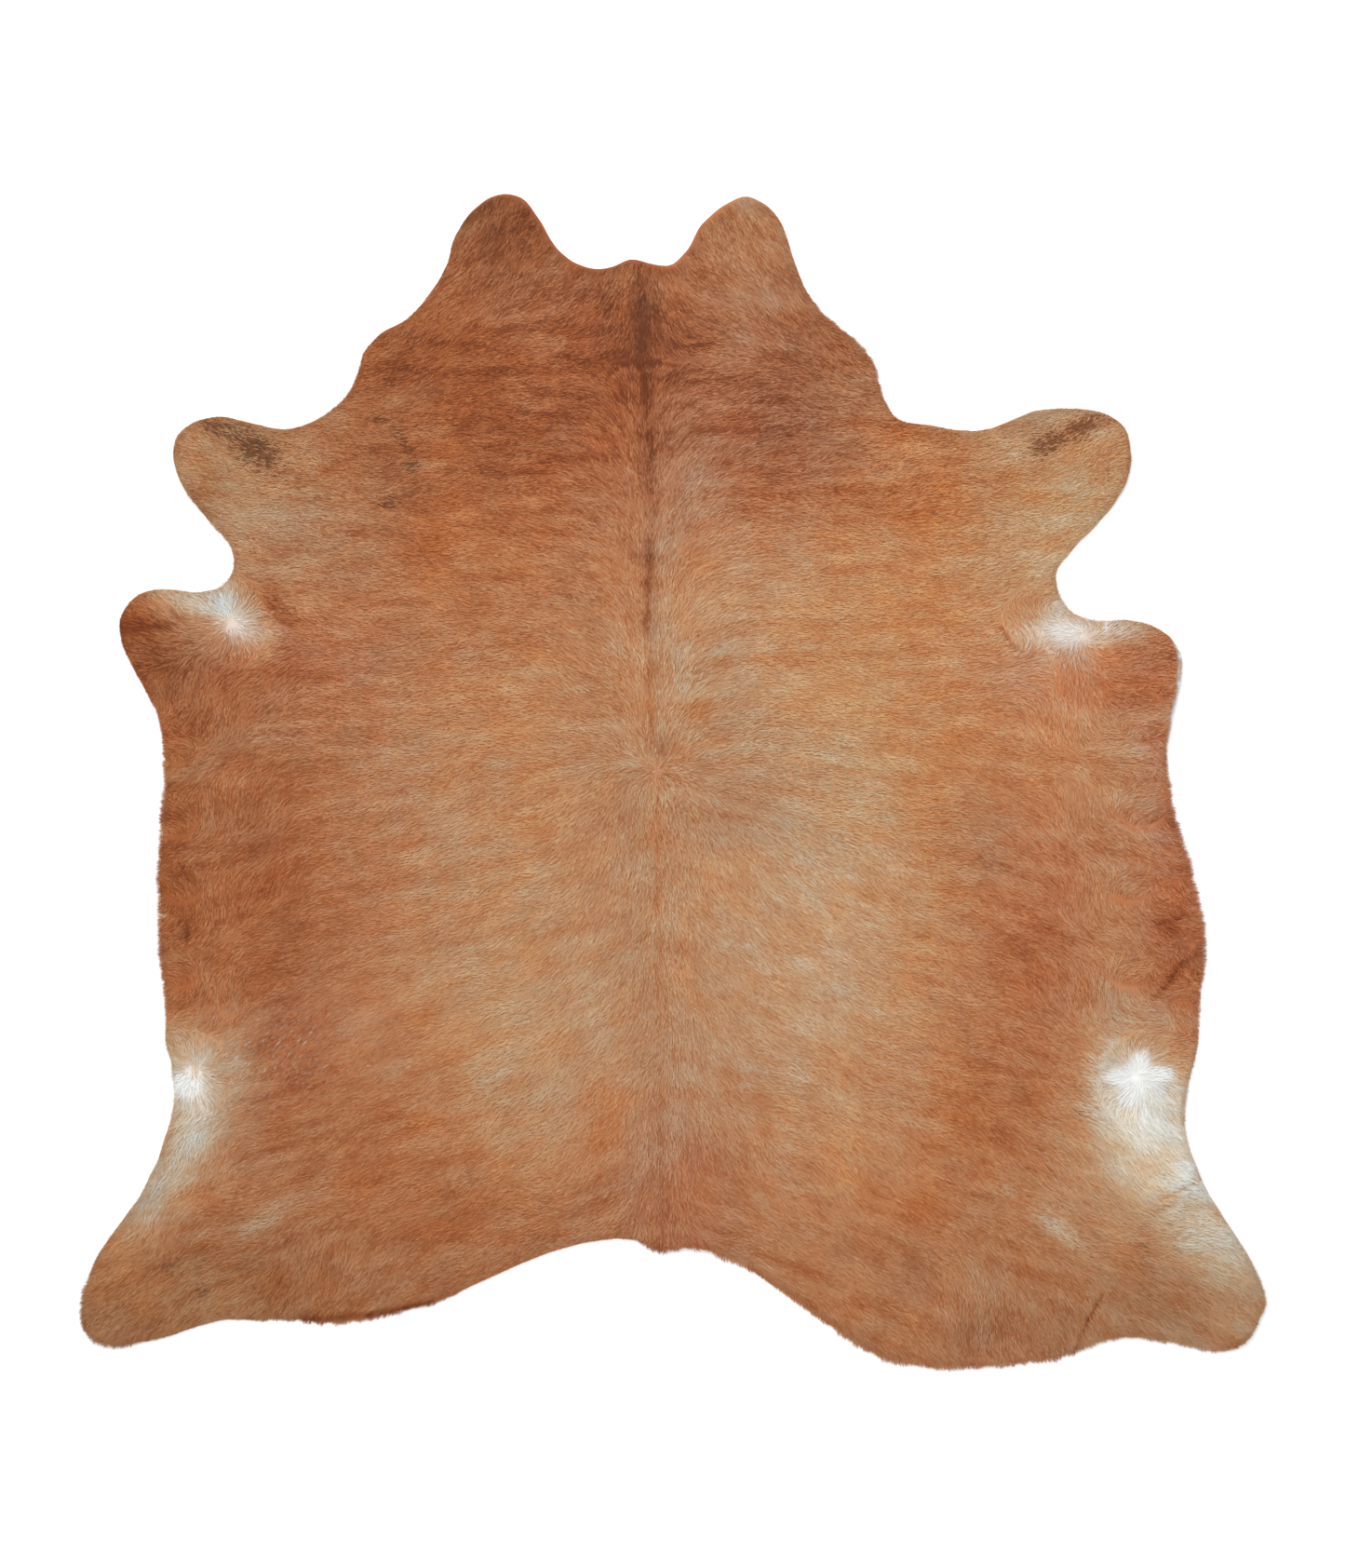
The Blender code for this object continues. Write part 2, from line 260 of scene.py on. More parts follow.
GROUND = 140.0              # the coat where no patch lies, in display steps
PATCHES = (
    Patch("brown of the neck", -0.220, 0.740, 0.380, 0.315, 0, -32, 6),
    Patch("right side of the neck", 0.190, 0.695, 0.215, 0.215, 0, -20, -7),
    Patch("left side of the body", -0.750, -0.230, 0.215, 0.545, 0, -27, 3),
    Patch("right side of the body", 0.640, -0.280, 0.150, 0.430, 0, -14, 6),
    Patch("edge of the right belly", 0.905, -0.230, 0.065, 0.280, 0, -25, 3),
    # The two hollows of the right belly are painted shade beside its wrinkles.
    Patch("hollow of the right belly", 0.885, -0.258, 0.042, 0.020, 15, -9, 4),
    Patch("lower hollow of the right belly", 0.876, -0.345, 0.040, 0.024, 52, -10, 4),
    Patch("rump left of the tail", -0.400, -0.900, 0.480, 0.130, 0, -18, 0),
    Patch("dark left of the loin", -0.480, -0.640, 0.140, 0.100, -10, -14, 9),
    Patch("rump right of the tail", 0.210, -0.975, 0.495, 0.215, 0, -20, 2),
    Patch("left haunch", -0.865, -0.940, 0.280, 0.150, 0, -15, -11),
    Patch("light left haunch", -0.825, -0.920, 0.080, 0.050, 0, 9, 0),
    Patch("right haunch", 0.785, -0.975, 0.280, 0.100, 0, -7, -10),
    Patch("golden back", 0.255, -0.250, 0.210, 0.430, 0, 21, 2),
    Patch("golden right back", 0.420, -0.200, 0.090, 0.400, 0, 0, 6),
    Patch("light left back", -0.270, -0.300, 0.180, 0.380, 0, 9, 5),
    Patch("golden left ribs", -0.280, 0.130, 0.110, 0.120, 0, 0, 8),
    Patch("streak left of the loin", -0.125, -0.605, 0.035, 0.080, 0, -12, 10),
    Patch("rust left of the back", -0.250, -0.280, 0.070, 0.050, 0, -9, 5),
    Patch("spot left of the loin", -0.450, -0.440, 0.050, 0.065, 0, -9, 9),
    Patch("pale left loin", -0.220, -0.440, 0.150, 0.200, 0, 9, -1),
    Patch("orange right shoulder", 0.425, 0.330, 0.200, 0.265, 0, 2, 13),
    Patch("rust of the right shoulder", 0.360, 0.490, 0.160, 0.060, 0, -12, 8),
    Patch("right side of the withers", 0.125, 0.330, 0.180, 0.180, 0, 8, 5),
    Patch("brindle right of the spine", 0.040, 0.310, 0.035, 0.090, 0, -7, 3),
    Patch("pale right of the ribs", 0.135, 0.190, 0.050, 0.050, 0, 8, -3),
    Patch("pale line of the ribs", 0.010, 0.270, 0.085, 0.200, 0, 12, -3),
    Patch("pale right of the withers", 0.020, 0.560, 0.070, 0.090, 0, 11, -9),
    Patch("pale streak right of the spine", 0.011, 0.198, 0.014, 0.046, 4, 11, -8),
    Patch("pale beside the dark spine", -0.012, 0.345, 0.014, 0.060, 0, 6, -5),
    Patch("rust spot right of the ribs", 0.028, 0.273, 0.017, 0.015, 0, -16, 10),
    Patch("rust spot right of the back", 0.047, 0.118, 0.022, 0.018, 20, -10, 9),
    Patch("rust spot right of the shoulders", 0.050, 0.383, 0.030, 0.013, 0, -6, 8),
    Patch("fawn right of the ribs", 0.115, 0.285, 0.030, 0.030, 0, 7, -8),
    Patch("fawn right of the back", 0.112, 0.105, 0.028, 0.030, 0, 10, -7),
    Patch("dark middle of the neck", -0.085, 0.810, 0.080, 0.125, 0, -18, -5),
    Patch("brown top of the neck", -0.053, 0.820, 0.022, 0.085, 0, -14, -3),
    Patch("pale right of the neck", 0.125, 0.810, 0.060, 0.100, 0, 17, -1),
    Patch("left neck lobe", -0.300, 0.985, 0.100, 0.100, 0, -32, -3),
    Patch("below the left neck lobe", -0.240, 0.880, 0.090, 0.060, 0, 2, -7),
    Patch("left of the neck, middle", -0.370, 0.700, 0.050, 0.060, 0, -8, 0),
    Patch("left of the crease", -0.130, 0.700, 0.060, 0.060, 0, -7, 4),
    Patch("right neck lobe", 0.110, 0.905, 0.100, 0.130, 0, -2, -5),
    Patch("left of the neck", -0.465, 0.760, 0.120, 0.060, 20, -24, 0),
    Patch("pale left of the withers", -0.470, 0.680, 0.060, 0.040, 0, 3, -9),
    Patch("brindled left of the neck", -0.370, 0.660, 0.150, 0.085, 0, -6, 3),
    Patch("brindled band of the shoulder", -0.295, 0.535, 0.180, 0.035, 14, -14, 3),
    Patch("brindle below the band", -0.335, 0.460, 0.180, 0.040, 10, -6, 6),
    Patch("left shoulder, below the band", -0.380, 0.350, 0.190, 0.120, 0, -12, 10),
    Patch("orange spot of the shoulder", -0.430, 0.435, 0.035, 0.075, 0, -12, 8),
    Patch("left shoulder", -0.540, 0.575, 0.100, 0.100, 0, -15, -3),
    Patch("cool left shoulder", -0.490, 0.410, 0.080, 0.080, 0, -2, -7),
    Patch("left of the withers", -0.300, 0.610, 0.140, 0.050, 0, -8, 3),
    Patch("dark right of the neck", 0.260, 0.760, 0.115, 0.060, 0, -8, 0),
    Patch("smudge right of the withers", 0.175, 0.610, 0.085, 0.040, 10, -8, -2),
    Patch("left foreleg", -0.755, 0.450, 0.140, 0.105, 0, 11, -5),
    Patch("upper edge of the left foreleg", -0.775, 0.610, 0.110, 0.035, 0, 0, -9),
    Patch("smudge of the left foreleg", -0.750, 0.592, 0.060, 0.020, -30, -10, -2),
    Patch("left foreleg tip", -0.840, 0.530, 0.065, 0.085, 0, -7, -6),
    Patch("right foreleg", 0.705, 0.480, 0.130, 0.130, 0, 20, 1),
    Patch("inner right foreleg", 0.635, 0.520, 0.055, 0.040, 0, -9, 8),
    Patch("smudge of the right foreleg", 0.705, 0.616, 0.055, 0.018, 27, -10, -2),
    Patch("orange root of the right foreleg", 0.500, 0.520, 0.080, 0.050, 20, -7, 4),
    Patch("warm top of the right shoulder", 0.415, 0.610, 0.070, 0.040, 0, -4, 10),
    Patch("inner edge of the right foreleg", 0.640, 0.360, 0.065, 0.060, 0, 14, -2),
    Patch("left root of the foreleg", -0.615, 0.460, 0.100, 0.100, 0, 4, -5),
    Patch("left elbow lobe", -0.945, 0.230, 0.085, 0.085, 0, -36, 0),
    Patch("middle of the left elbow lobe", -0.865, 0.245, 0.040, 0.045, 0, 10, -10),
    Patch("below the left elbow", -0.850, 0.165, 0.100, 0.085, 0, -14, -4),
    Patch("below the left elbow, inner", -0.680, 0.200, 0.085, 0.035, -8, -11, 2),
    Patch("right elbow lobe", 0.850, 0.170, 0.070, 0.055, 0, -14, 5),
    Patch("dark edge of the right elbow", 0.888, 0.225, 0.030, 0.040, 0, -16, 2),
    Patch("left belly strip", -0.885, -0.150, 0.045, 0.300, 0, -22, 4),
    Patch("dark left flank", -0.700, -0.180, 0.115, 0.180, 0, -8, 4),
    Patch("dark left hip", -0.685, -0.545, 0.100, 0.115, 0, -14, 4),
    Patch("spot of the left rump", -0.535, -0.720, 0.075, 0.075, 0, -8, 5),
    Patch("dark right hip", 0.565, -0.580, 0.090, 0.110, 0, -17, 5),
    Patch("spot right of the loin", 0.420, -0.750, 0.100, 0.060, 0, -15, 13),
    Patch("spot beside the right hip", 0.475, -0.560, 0.070, 0.070, 0, -7, 10),
    Patch("pale beside the right hip", 0.625, -0.640, 0.050, 0.045, 0, 9, -5),
    Patch("rust right of the loin", 0.280, -0.680, 0.090, 0.060, 0, -4, 7),
    Patch("right side, spot", 0.620, -0.330, 0.050, 0.100, 0, -9, 5),
    Patch("right flank", 0.710, 0.050, 0.120, 0.200, 0, 10, 4),
    Patch("pale blotch of the right belly", 0.815, 0.065, 0.030, 0.030, 0, 14, -5),
    Patch("right shoulder blade", 0.540, 0.065, 0.100, 0.100, 0, -4, 8),
    Patch("light left hip", -0.728, -0.778, 0.060, 0.018, 35, 32, -8),
    Patch("light right hip", 0.687, -0.795, 0.062, 0.019, -40, 32, -5),
    Patch("right hip, inner", 0.545, -0.880, 0.060, 0.040, 0, 8, -6),
    Patch("outer edge of the right hind leg", 0.945, -0.790, 0.120, 0.068, -55, 50, -5),
    Patch("cream of the right flank", 0.828, -0.562, 0.086, 0.112, 0, 84, 1),
    Patch("inner fringe of the right flank", 0.762, -0.530, 0.034, 0.075, 0, 20, -7),
    Patch("right flank under the star", 0.850, -0.685, 0.055, 0.028, 0, -13, 8),
    Patch("right flank above the star", 0.790, -0.385, 0.050, 0.035, 0, 7, -10),
    Patch("cream edge of the right flank", 0.902, -0.600, 0.032, 0.075, 0, 22, 0),
    Patch("tan edge above the right flank", 0.888, -0.488, 0.028, 0.026, 0, -14, 11),
    Patch("pale edge below the right flank", 0.926, -0.685, 0.022, 0.034, 0, 20, -6),
    Patch("cream below the right flank", 0.850, -0.700, 0.110, 0.062, 0, 27, 0),
    Patch("tan below the right flank", 0.768, -0.700, 0.035, 0.050, 0, 9, -7),
    Patch("right hind leg, below", 0.885, -0.900, 0.115, 0.050, -15, -8, -4),
    Patch("outer edge of the left hind leg", -0.915, -0.730, 0.050, 0.095, -32, 40, -9),
    Patch("cream below the left flank", -0.855, -0.635, 0.055, 0.060, 0, 34, -8),
    Patch("cream of the left flank", -0.856, -0.522, 0.070, 0.090, 0, 66, -6),
    Patch("inner fringe of the left flank", -0.772, -0.510, 0.030, 0.100, 0, 22, -14),
    Patch("band inside the left flank", -0.738, -0.555, 0.030, 0.085, 0, 9, -9),
    Patch("tan above the left flank", -0.850, -0.405, 0.055, 0.026, 0, -12, 4),
    Patch("light line below the left belly", -0.800, 0.058, 0.062, 0.018, 27, -8, 2),
    Patch("cream above the left flank", -0.885, -0.460, 0.035, 0.035, 0, 8, -4),
    Patch("rust of the left hind leg", -0.835, -0.742, 0.040, 0.025, 0, -3, 8),
    Patch("cream of the left elbow", -0.770, 0.278, 0.062, 0.044, -15, 48, -8),
    Patch("upper edge of the left elbow", -0.850, 0.316, 0.060, 0.020, -12, 44, -9),
    Patch("dark tip of the left elbow", -0.962, 0.276, 0.034, 0.028, 0, -34, 18),
    Patch("light inside the tip of the left elbow", -0.895, 0.290, 0.032, 0.020, 0, 12, -10),
    Patch("dark upper side of the left elbow", -0.905, 0.276, 0.035, 0.014, 5, -16, 4),
    Patch("notch of the left elbow", -0.792, 0.340, 0.022, 0.032, 0, 32, -6),
    Patch("tips right of the left elbow", -0.706, 0.268, 0.034, 0.013, 10, 24, -8),
    Patch("wedge right of the left elbow", -0.704, 0.310, 0.045, 0.019, -50, -50, 4),
    Patch("cream edge of the left elbow", -0.840, 0.334, 0.085, 0.022, 0, 16, -6),
    Patch("cream of the right elbow", 0.694, 0.262, 0.092, 0.042, -2, 54, 3),
    Patch("cream top of the right elbow", 0.785, 0.288, 0.050, 0.016, -5, 16, 1),
    Patch("upper edge of the right elbow", 0.775, 0.274, 0.055, 0.014, -4, 22, -5),
    Patch("notch of the right elbow", 0.685, 0.305, 0.018, 0.025, 0, 24, -4),
    Patch("rust above the right elbow", 0.628, 0.314, 0.055, 0.020, 38, -20, 4),
    Patch("rust below the right elbow", 0.800, 0.174, 0.070, 0.022, 5, -14, 12),
    Patch("rust inside the right elbow", 0.776, 0.226, 0.036, 0.022, 0, -18, 16),
    Patch("rust under the right elbow", 0.690, 0.185, 0.055, 0.022, 0, -9, 8),
    Patch("pale left of the right elbow", 0.595, 0.185, 0.045, 0.030, 0, 13, -13),
    Patch("dark smudge of the left hind leg", -0.875, -0.850, 0.080, 0.030, 20, -12, -2),
    Patch("grey right of the whorl", 0.110, -0.075, 0.085, 0.075, -30, -10, -6),
    Patch("rust left of the spine", -0.095, -0.035, 0.050, 0.065, 0, -6, 0),
    Patch("tail", -0.020, -0.745, 0.100, 0.100, 0, -6, -4),
    Patch("brown left of the tail", -0.410, -0.790, 0.100, 0.040, 0, -8, 8),
    Patch("dark left of the tail", -0.330, -0.735, 0.250, 0.055, 0, -10, 3),
    Patch("right of the tail", 0.120, -0.660, 0.070, 0.090, 0, -9, 2),
    Patch("foot of the left hind leg", -1.000, -0.965, 0.070, 0.050, 0, -11, 0),
)


class Tint(NamedTuple):
    """A wide oval of the coat that is rosier than the rest, or more golden where it is negative."""

    name: str
    x: float
    y: float
    along: float
    across: float
    turn: float
    rose: float


GOLDEN = -2.4               # the coat where no tint lies, in hundredths of green taken away
TINTS = (
    Tint("right of the neck", 0.160, 0.660, 0.180, 0.200, 0, 6.4),
    Tint("left of the neck", -0.180, 0.780, 0.200, 0.140, 0, 5.2),
    Tint("middle of the shoulders", -0.120, 0.520, 0.260, 0.150, 0, 4.0),
    Tint("left foreleg", -0.790, 0.570, 0.130, 0.120, 0, -6.4),
    Tint("right foreleg", 0.730, 0.500, 0.200, 0.160, 0, -4.4),
    Tint("right back", 0.350, 0.080, 0.150, 0.280, 0, -3.2),
    Tint("left back", -0.300, -0.400, 0.120, 0.350, 0, -2.0),
    Tint("edge of the left belly", -0.890, -0.130, 0.040, 0.250, 0, -3.2),
    Tint("below the left elbow", -0.640, 0.210, 0.160, 0.090, 0, 6.0),
    Tint("left side", -0.620, -0.250, 0.120, 0.300, 0, 2.6),
    Tint("below the right elbow", 0.710, 0.200, 0.190, 0.100, 0, 8.4),
    Tint("edge of the right belly", 0.890, -0.100, 0.070, 0.300, 0, 10.0),
    Tint("right side", 0.660, -0.250, 0.100, 0.250, 0, 7.6),
    Tint("tail", 0.010, -0.720, 0.140, 0.160, 0, 6.0),
    Tint("left haunch", -0.860, -0.920, 0.280, 0.110, 0, -8.0),
    Tint("right haunch", 0.860, -0.930, 0.220, 0.110, 0, -3.6),
)


class WhitePatch(NamedTuple):
    """An oval of white hair. Softness is the share of its radii over which white and coloured hair mix."""

    name: str
    x: float
    y: float
    along: float
    across: float
    turn: float
    softness: float
    amount: float


WHITES = (
    WhitePatch("left elbow", -0.774, 0.276, 0.034, 0.024, -25, 1.0, 0.46),
    WhitePatch("left elbow, middle", -0.774, 0.273, 0.014, 0.011, 0, 1.0, 0.60),
    WhitePatch("left elbow, above", -0.802, 0.306, 0.020, 0.012, -20, 1.0, 0.10),
    WhitePatch("right elbow", 0.700, 0.266, 0.036, 0.021, -8, 1.0, 0.68),
    WhitePatch("right elbow, middle", 0.716, 0.258, 0.016, 0.011, 0, 1.0, 0.50),
    WhitePatch("left flank", -0.862, -0.538, 0.031, 0.026, 0, 0.5, 0.85),
    WhitePatch("left flank, lower part", -0.850, -0.565, 0.034, 0.040, 0, 1.0, 0.34),
    WhitePatch("right flank star, middle", 0.822, -0.525, 0.033, 0.028, 5, 0.30, 1.00),
    WhitePatch("right flank star, upper arm", 0.827, -0.500, 0.018, 0.022, 0, 0.5, 1.00),
    WhitePatch("right flank star, inner arm", 0.795, -0.524, 0.028, 0.016, 0, 0.6, 1.00),
    WhitePatch("right flank star, outer arm", 0.856, -0.520, 0.031, 0.016, 5, 0.6, 0.95),
    WhitePatch("right flank star, lower arm", 0.813, -0.552, 0.016, 0.024, 0, 0.5, 1.00),
    WhitePatch("right flank, trail of the star", 0.833, -0.590, 0.008, 0.026, 0, 1.0, 0.55),
    WhitePatch("whorl of the back", -0.028, 0.020, 0.004, 0.005, 0, 0.9, 0.55),
)


class Smudge(NamedTuple):
    """An oval where many single hairs are almost black: their share, and how much darker they are."""

    name: str
    x: float
    y: float
    along: float
    across: float
    turn: float
    share: float
    drop: float


SMUDGE_COOLING = 22.0       # hundredths of warmth that these hairs lack
SMUDGES = (
    Smudge("left foreleg", -0.742, 0.590, 0.058, 0.027, -34, 0.80, 54),
    Smudge("left foreleg, outer end", -0.806, 0.624, 0.040, 0.016, -30, 0.72, 50),
    Smudge("right foreleg, inner end", 0.663, 0.598, 0.032, 0.018, 25, 0.82, 50),
    Smudge("right foreleg, outer end", 0.724, 0.627, 0.042, 0.018, 24, 0.82, 52),
    Smudge("left shoulder, dot", -0.464, 0.558, 0.016, 0.011, 0, 0.75, 42),
    Smudge("left shoulder, dot below", -0.508, 0.494, 0.024, 0.012, 10, 0.55, 36),
    Smudge("left shoulder, dots above", -0.480, 0.605, 0.034, 0.009, -60, 0.50, 36),
    Smudge("left shoulder, dot at the top", -0.523, 0.643, 0.016, 0.008, -20, 0.65, 40),
    Smudge("right flank specks", 0.729, -0.586, 0.013, 0.005, 0, 0.60, 40),
    Smudge("right hind leg speck", 0.833, -0.821, 0.007, 0.006, 0, 0.60, 36),
    Smudge("left hind leg", -0.893, -0.856, 0.020, 0.010, 20, 0.50, 30),
    Smudge("left hind leg, inner", -0.834, -0.900, 0.012, 0.016, 0, 0.40, 26),
    Smudge("top of the neck", -0.053, 0.835, 0.022, 0.080, 0, 0.30, 24),
)


class Stroke(NamedTuple):
    """A thin line painted into the coat's colour, from one end to the other: most are painted shadows in
    creases and wrinkles, a few are painted highlights beside them, and some are the coat's own marks.
    """

    name: str
    start: tuple[float, float]
    end: tuple[float, float]
    width: float
    light: float
    warmth: float


STROKES = (
    # Painted shadow in the neck crease, with a painted highlight on the lit edge under it.
    Stroke("neck crease, left end", (-0.118, 0.716), (-0.092, 0.740), 0.0032, -34, 2),
    Stroke("neck crease, left", (-0.092, 0.740), (-0.074, 0.746), 0.0032, -38, 2),
    Stroke("neck crease, middle", (-0.074, 0.746), (-0.058, 0.741), 0.0035, -40, 4),
    Stroke("neck crease, right", (-0.058, 0.741), (-0.028, 0.745), 0.0035, -38, 3),
    Stroke("neck crease, right end", (-0.028, 0.745), (0.004, 0.736), 0.0030, -32, 2),
    Stroke("lit edge under the neck crease", (-0.108, 0.719), (-0.090, 0.730), 0.0025, 26, -2),
    Stroke("knot of the neck crease", (-0.063, 0.742), (-0.059, 0.733), 0.0050, -20, 6),
    # Painted shade along the hollow of the neck, above and below the crease.
    Stroke("neck hollow above the crease", (-0.058, 0.800), (-0.060, 0.748), 0.010, -10, -1),
    Stroke("neck hollow below the crease", (-0.058, 0.738), (-0.049, 0.700), 0.004, -28, 0),
    Stroke("neck hollow towards the withers", (-0.049, 0.700), (-0.049, 0.645), 0.004, -26, 0),
    # Painted shadows of the small folds beside the neck crease, and a painted highlight on the lit side of
    # the lower fold.
    Stroke("line right of the neck crease", (-0.005, 0.768), (0.048, 0.773), 0.0028, -20, 3),
    Stroke("end of the line right of the crease", (0.048, 0.773), (0.084, 0.781), 0.0025, -16, 2),
    Stroke("line below the right end of the crease", (0.018, 0.710), (0.055, 0.710), 0.0025, -22, 3),
    Stroke("lit line below the right end", (0.026, 0.715), (0.058, 0.716), 0.0022, 24, -2),
    # Painted shadows in the right flank's crease and under its lifted edge.
    Stroke("right flank crease, outer", (0.936, -0.703), (0.905, -0.720), 0.0020, -60, -8),
    Stroke("right flank crease, inner", (0.905, -0.720), (0.862, -0.741), 0.0022, -42, 0),
    Stroke("lower right flank crease", (0.892, -0.747), (0.852, -0.764), 0.003, -16, 0),
    Stroke("side of the right flank crease", (0.890, -0.735), (0.862, -0.752), 0.008, -10, 4),
    Stroke("edge shadow of the right flank", (0.906, -0.595), (0.932, -0.700), 0.0025, -34, -6),
    # Painted shadow in the crease of the right hind leg.
    Stroke("right hind-leg crease, top", (0.760, -0.909), (0.734, -0.955), 0.0028, -46, 0),
    Stroke("right hind-leg crease, bottom", (0.734, -0.955), (0.707, -1.016), 0.003, -28, 2),
    # Painted shade on the left rump's hem, where the edge turns down out of the light.
    Stroke("left rump hem, outer", (-0.655, -0.953), (-0.540, -0.945), 0.006, -34, 4),
    Stroke("left rump hem, inner", (-0.540, -0.945), (-0.430, -0.924), 0.006, -38, 4),
    # Painted shadow in the crease of the left hind leg.
    Stroke("left hind-leg crease", (-0.963, -0.765), (-0.889, -0.765), 0.003, -16, 0),
    # Painted shadows in the wrinkles of the right belly.
    Stroke("right belly, upper wrinkle", (0.857, -0.252), (0.892, -0.243), 0.0045, -34, 5),
    Stroke("right belly, end of the upper wrinkle", (0.892, -0.243), (0.909, -0.231), 0.003, -30, 2),
    Stroke("right belly, side of the upper wrinkle", (0.850, -0.240), (0.890, -0.262), 0.010, -10, 3),
    Stroke("right belly, lower wrinkle", (0.896, -0.321), (0.932, -0.308), 0.003, -30, 2),
    Stroke("right belly, wrinkle to the hip", (0.899, -0.321), (0.869, -0.367), 0.0045, -36, 4),
    Stroke("right belly, end of the wrinkle", (0.869, -0.367), (0.848, -0.390), 0.007, -16, 2),
    # Painted shade in the slit of the left belly.
    Stroke("left belly slit", (-0.860, -0.258), (-0.862, -0.278), 0.0028, -50, 0),
    Stroke("right hind-leg shadow", (0.846, -0.889), (0.919, -0.889), 0.004, -13, 2),
    # Painted shadows in the wrinkles of the elbows.
    Stroke("left elbow wrinkle", (-0.705, 0.293), (-0.672, 0.270), 0.005, -14, 4),
    Stroke("right elbow wrinkle", (0.580, 0.275), (0.606, 0.232), 0.0028, -46, -2),
    Stroke("right elbow tick", (0.765, 0.262), (0.767, 0.280), 0.0025, 60, -8),
    # Painted shadow in the crease of the left elbow lobe.
    Stroke("left elbow lobe crease", (-0.975, 0.270), (-0.895, 0.276), 0.007, -26, 0),
    Stroke("left shoulder arc", (-0.656, 0.523), (-0.564, 0.579), 0.006, -11, 0),
    Stroke("left shoulder lower arc", (-0.641, 0.453), (-0.542, 0.395), 0.006, -9, 0),
    Stroke("scar", (-0.035, -0.528), (0.020, -0.539), 0.003, 12, -4),
    Stroke("dark spine below the shoulders", (-0.041, 0.425), (-0.044, 0.352), 0.0095, -18, -5),
    Stroke("dark spine of the ribs", (-0.046, 0.352), (-0.049, 0.264), 0.0060, -24, -4),
    Stroke("rust spine of the back", (-0.045, 0.250), (-0.036, 0.070), 0.0060, -12, 6),
    Stroke("cut edge of the right elbow, top", (0.842, 0.285), (0.866, 0.277), 0.0035, 55, -12),
    Stroke("cut edge of the right elbow, corner", (0.866, 0.277), (0.885, 0.257), 0.0035, 70, -16),
    Stroke("cut edge of the right elbow, outer", (0.885, 0.257), (0.897, 0.222), 0.004, 75, -16),
    Stroke("cut edge of the right elbow, side", (0.897, 0.222), (0.896, 0.174), 0.004, 75, -16),
    Stroke("cut edge of the right elbow, below", (0.896, 0.174), (0.884, 0.115), 0.004, 75, -16),
    Stroke("cut edge under the right elbow", (0.884, 0.115), (0.876, 0.066), 0.0035, 50, -10),
    # Painted highlights on the hair beside the right belly's wrinkles.
    Stroke("right belly, pale tip", (0.913, -0.192), (0.930, -0.190), 0.0022, 30, 2),
    Stroke("right belly, pale tip below", (0.915, -0.220), (0.933, -0.232), 0.0025, 34, 2),
    Stroke("right belly, pale tip at the wrinkle", (0.908, -0.340), (0.930, -0.362), 0.0028, 34, 2),
    Stroke("left belly, white fleck", (-0.915, -0.234), (-0.900, -0.238), 0.0030, 70, -12),
)


class StripePoint(NamedTuple):
    """The dark line of the back at one level: its half width, lightness and warmth."""

    name: str
    y: float
    width: float
    light: float
    warmth: float


STRIPE = (
    StripePoint("tail", -0.830, 0.008, -12, 0),
    StripePoint("rump", -0.680, 0.007, -10, 0),
    StripePoint("loin", -0.430, 0.006, -8, 2),
    StripePoint("back", -0.100, 0.006, -12, 3),
    StripePoint("whorl", 0.010, 0.004, -6, 3),
    StripePoint("above the whorl", 0.060, 0.016, -2, -7),
    StripePoint("ribs", 0.230, 0.014, -8, -8),
    StripePoint("shoulders", 0.395, 0.012, -22, -10),
    StripePoint("below the withers", 0.460, 0.012, -12, -8),
    StripePoint("withers", 0.560, 0.018, -20, -6),
    StripePoint("below the neck crease", 0.640, 0.020, -16, -4),
    StripePoint("neck", 0.740, 0.014, -14, 0),
    StripePoint("top of the neck", 0.860, 0.012, -4, 0),
)


class Growth(NamedTuple):
    """How the hair grows around one place: its length and how much dark hair it has, against the usual."""

    name: str
    x: float
    y: float
    reach: float
    length: float
    dark: float


GROWTHS = (
    Growth("left foreleg", -0.790, 0.530, 0.140, 0.70, 0.9),
    Growth("right foreleg", 0.720, 0.520, 0.140, 0.70, 0.9),
    Growth("left flank", -0.860, -0.540, 0.110, 1.50, 0.2),
    Growth("right flank", 0.850, -0.600, 0.150, 1.50, 0.1),
    Growth("left elbow", -0.790, 0.280, 0.110, 1.45, 0.2),
    Growth("right elbow", 0.720, 0.240, 0.120, 1.45, 0.2),
    Growth("right belly", 0.900, -0.280, 0.110, 1.20, 0.6),
    Growth("left haunch", -0.900, -0.850, 0.170, 1.10, 0.5),
    Growth("right haunch", 0.900, -0.850, 0.170, 1.10, 0.4),
    Growth("line of the shoulders", -0.040, 0.400, 0.180, 1.00, 1.3),
)


class Liveliness(NamedTuple):
    """An oval where single hairs show more than elsewhere, or less where it is negative, as a share."""

    name: str
    x: float
    y: float
    along: float
    across: float
    more: float


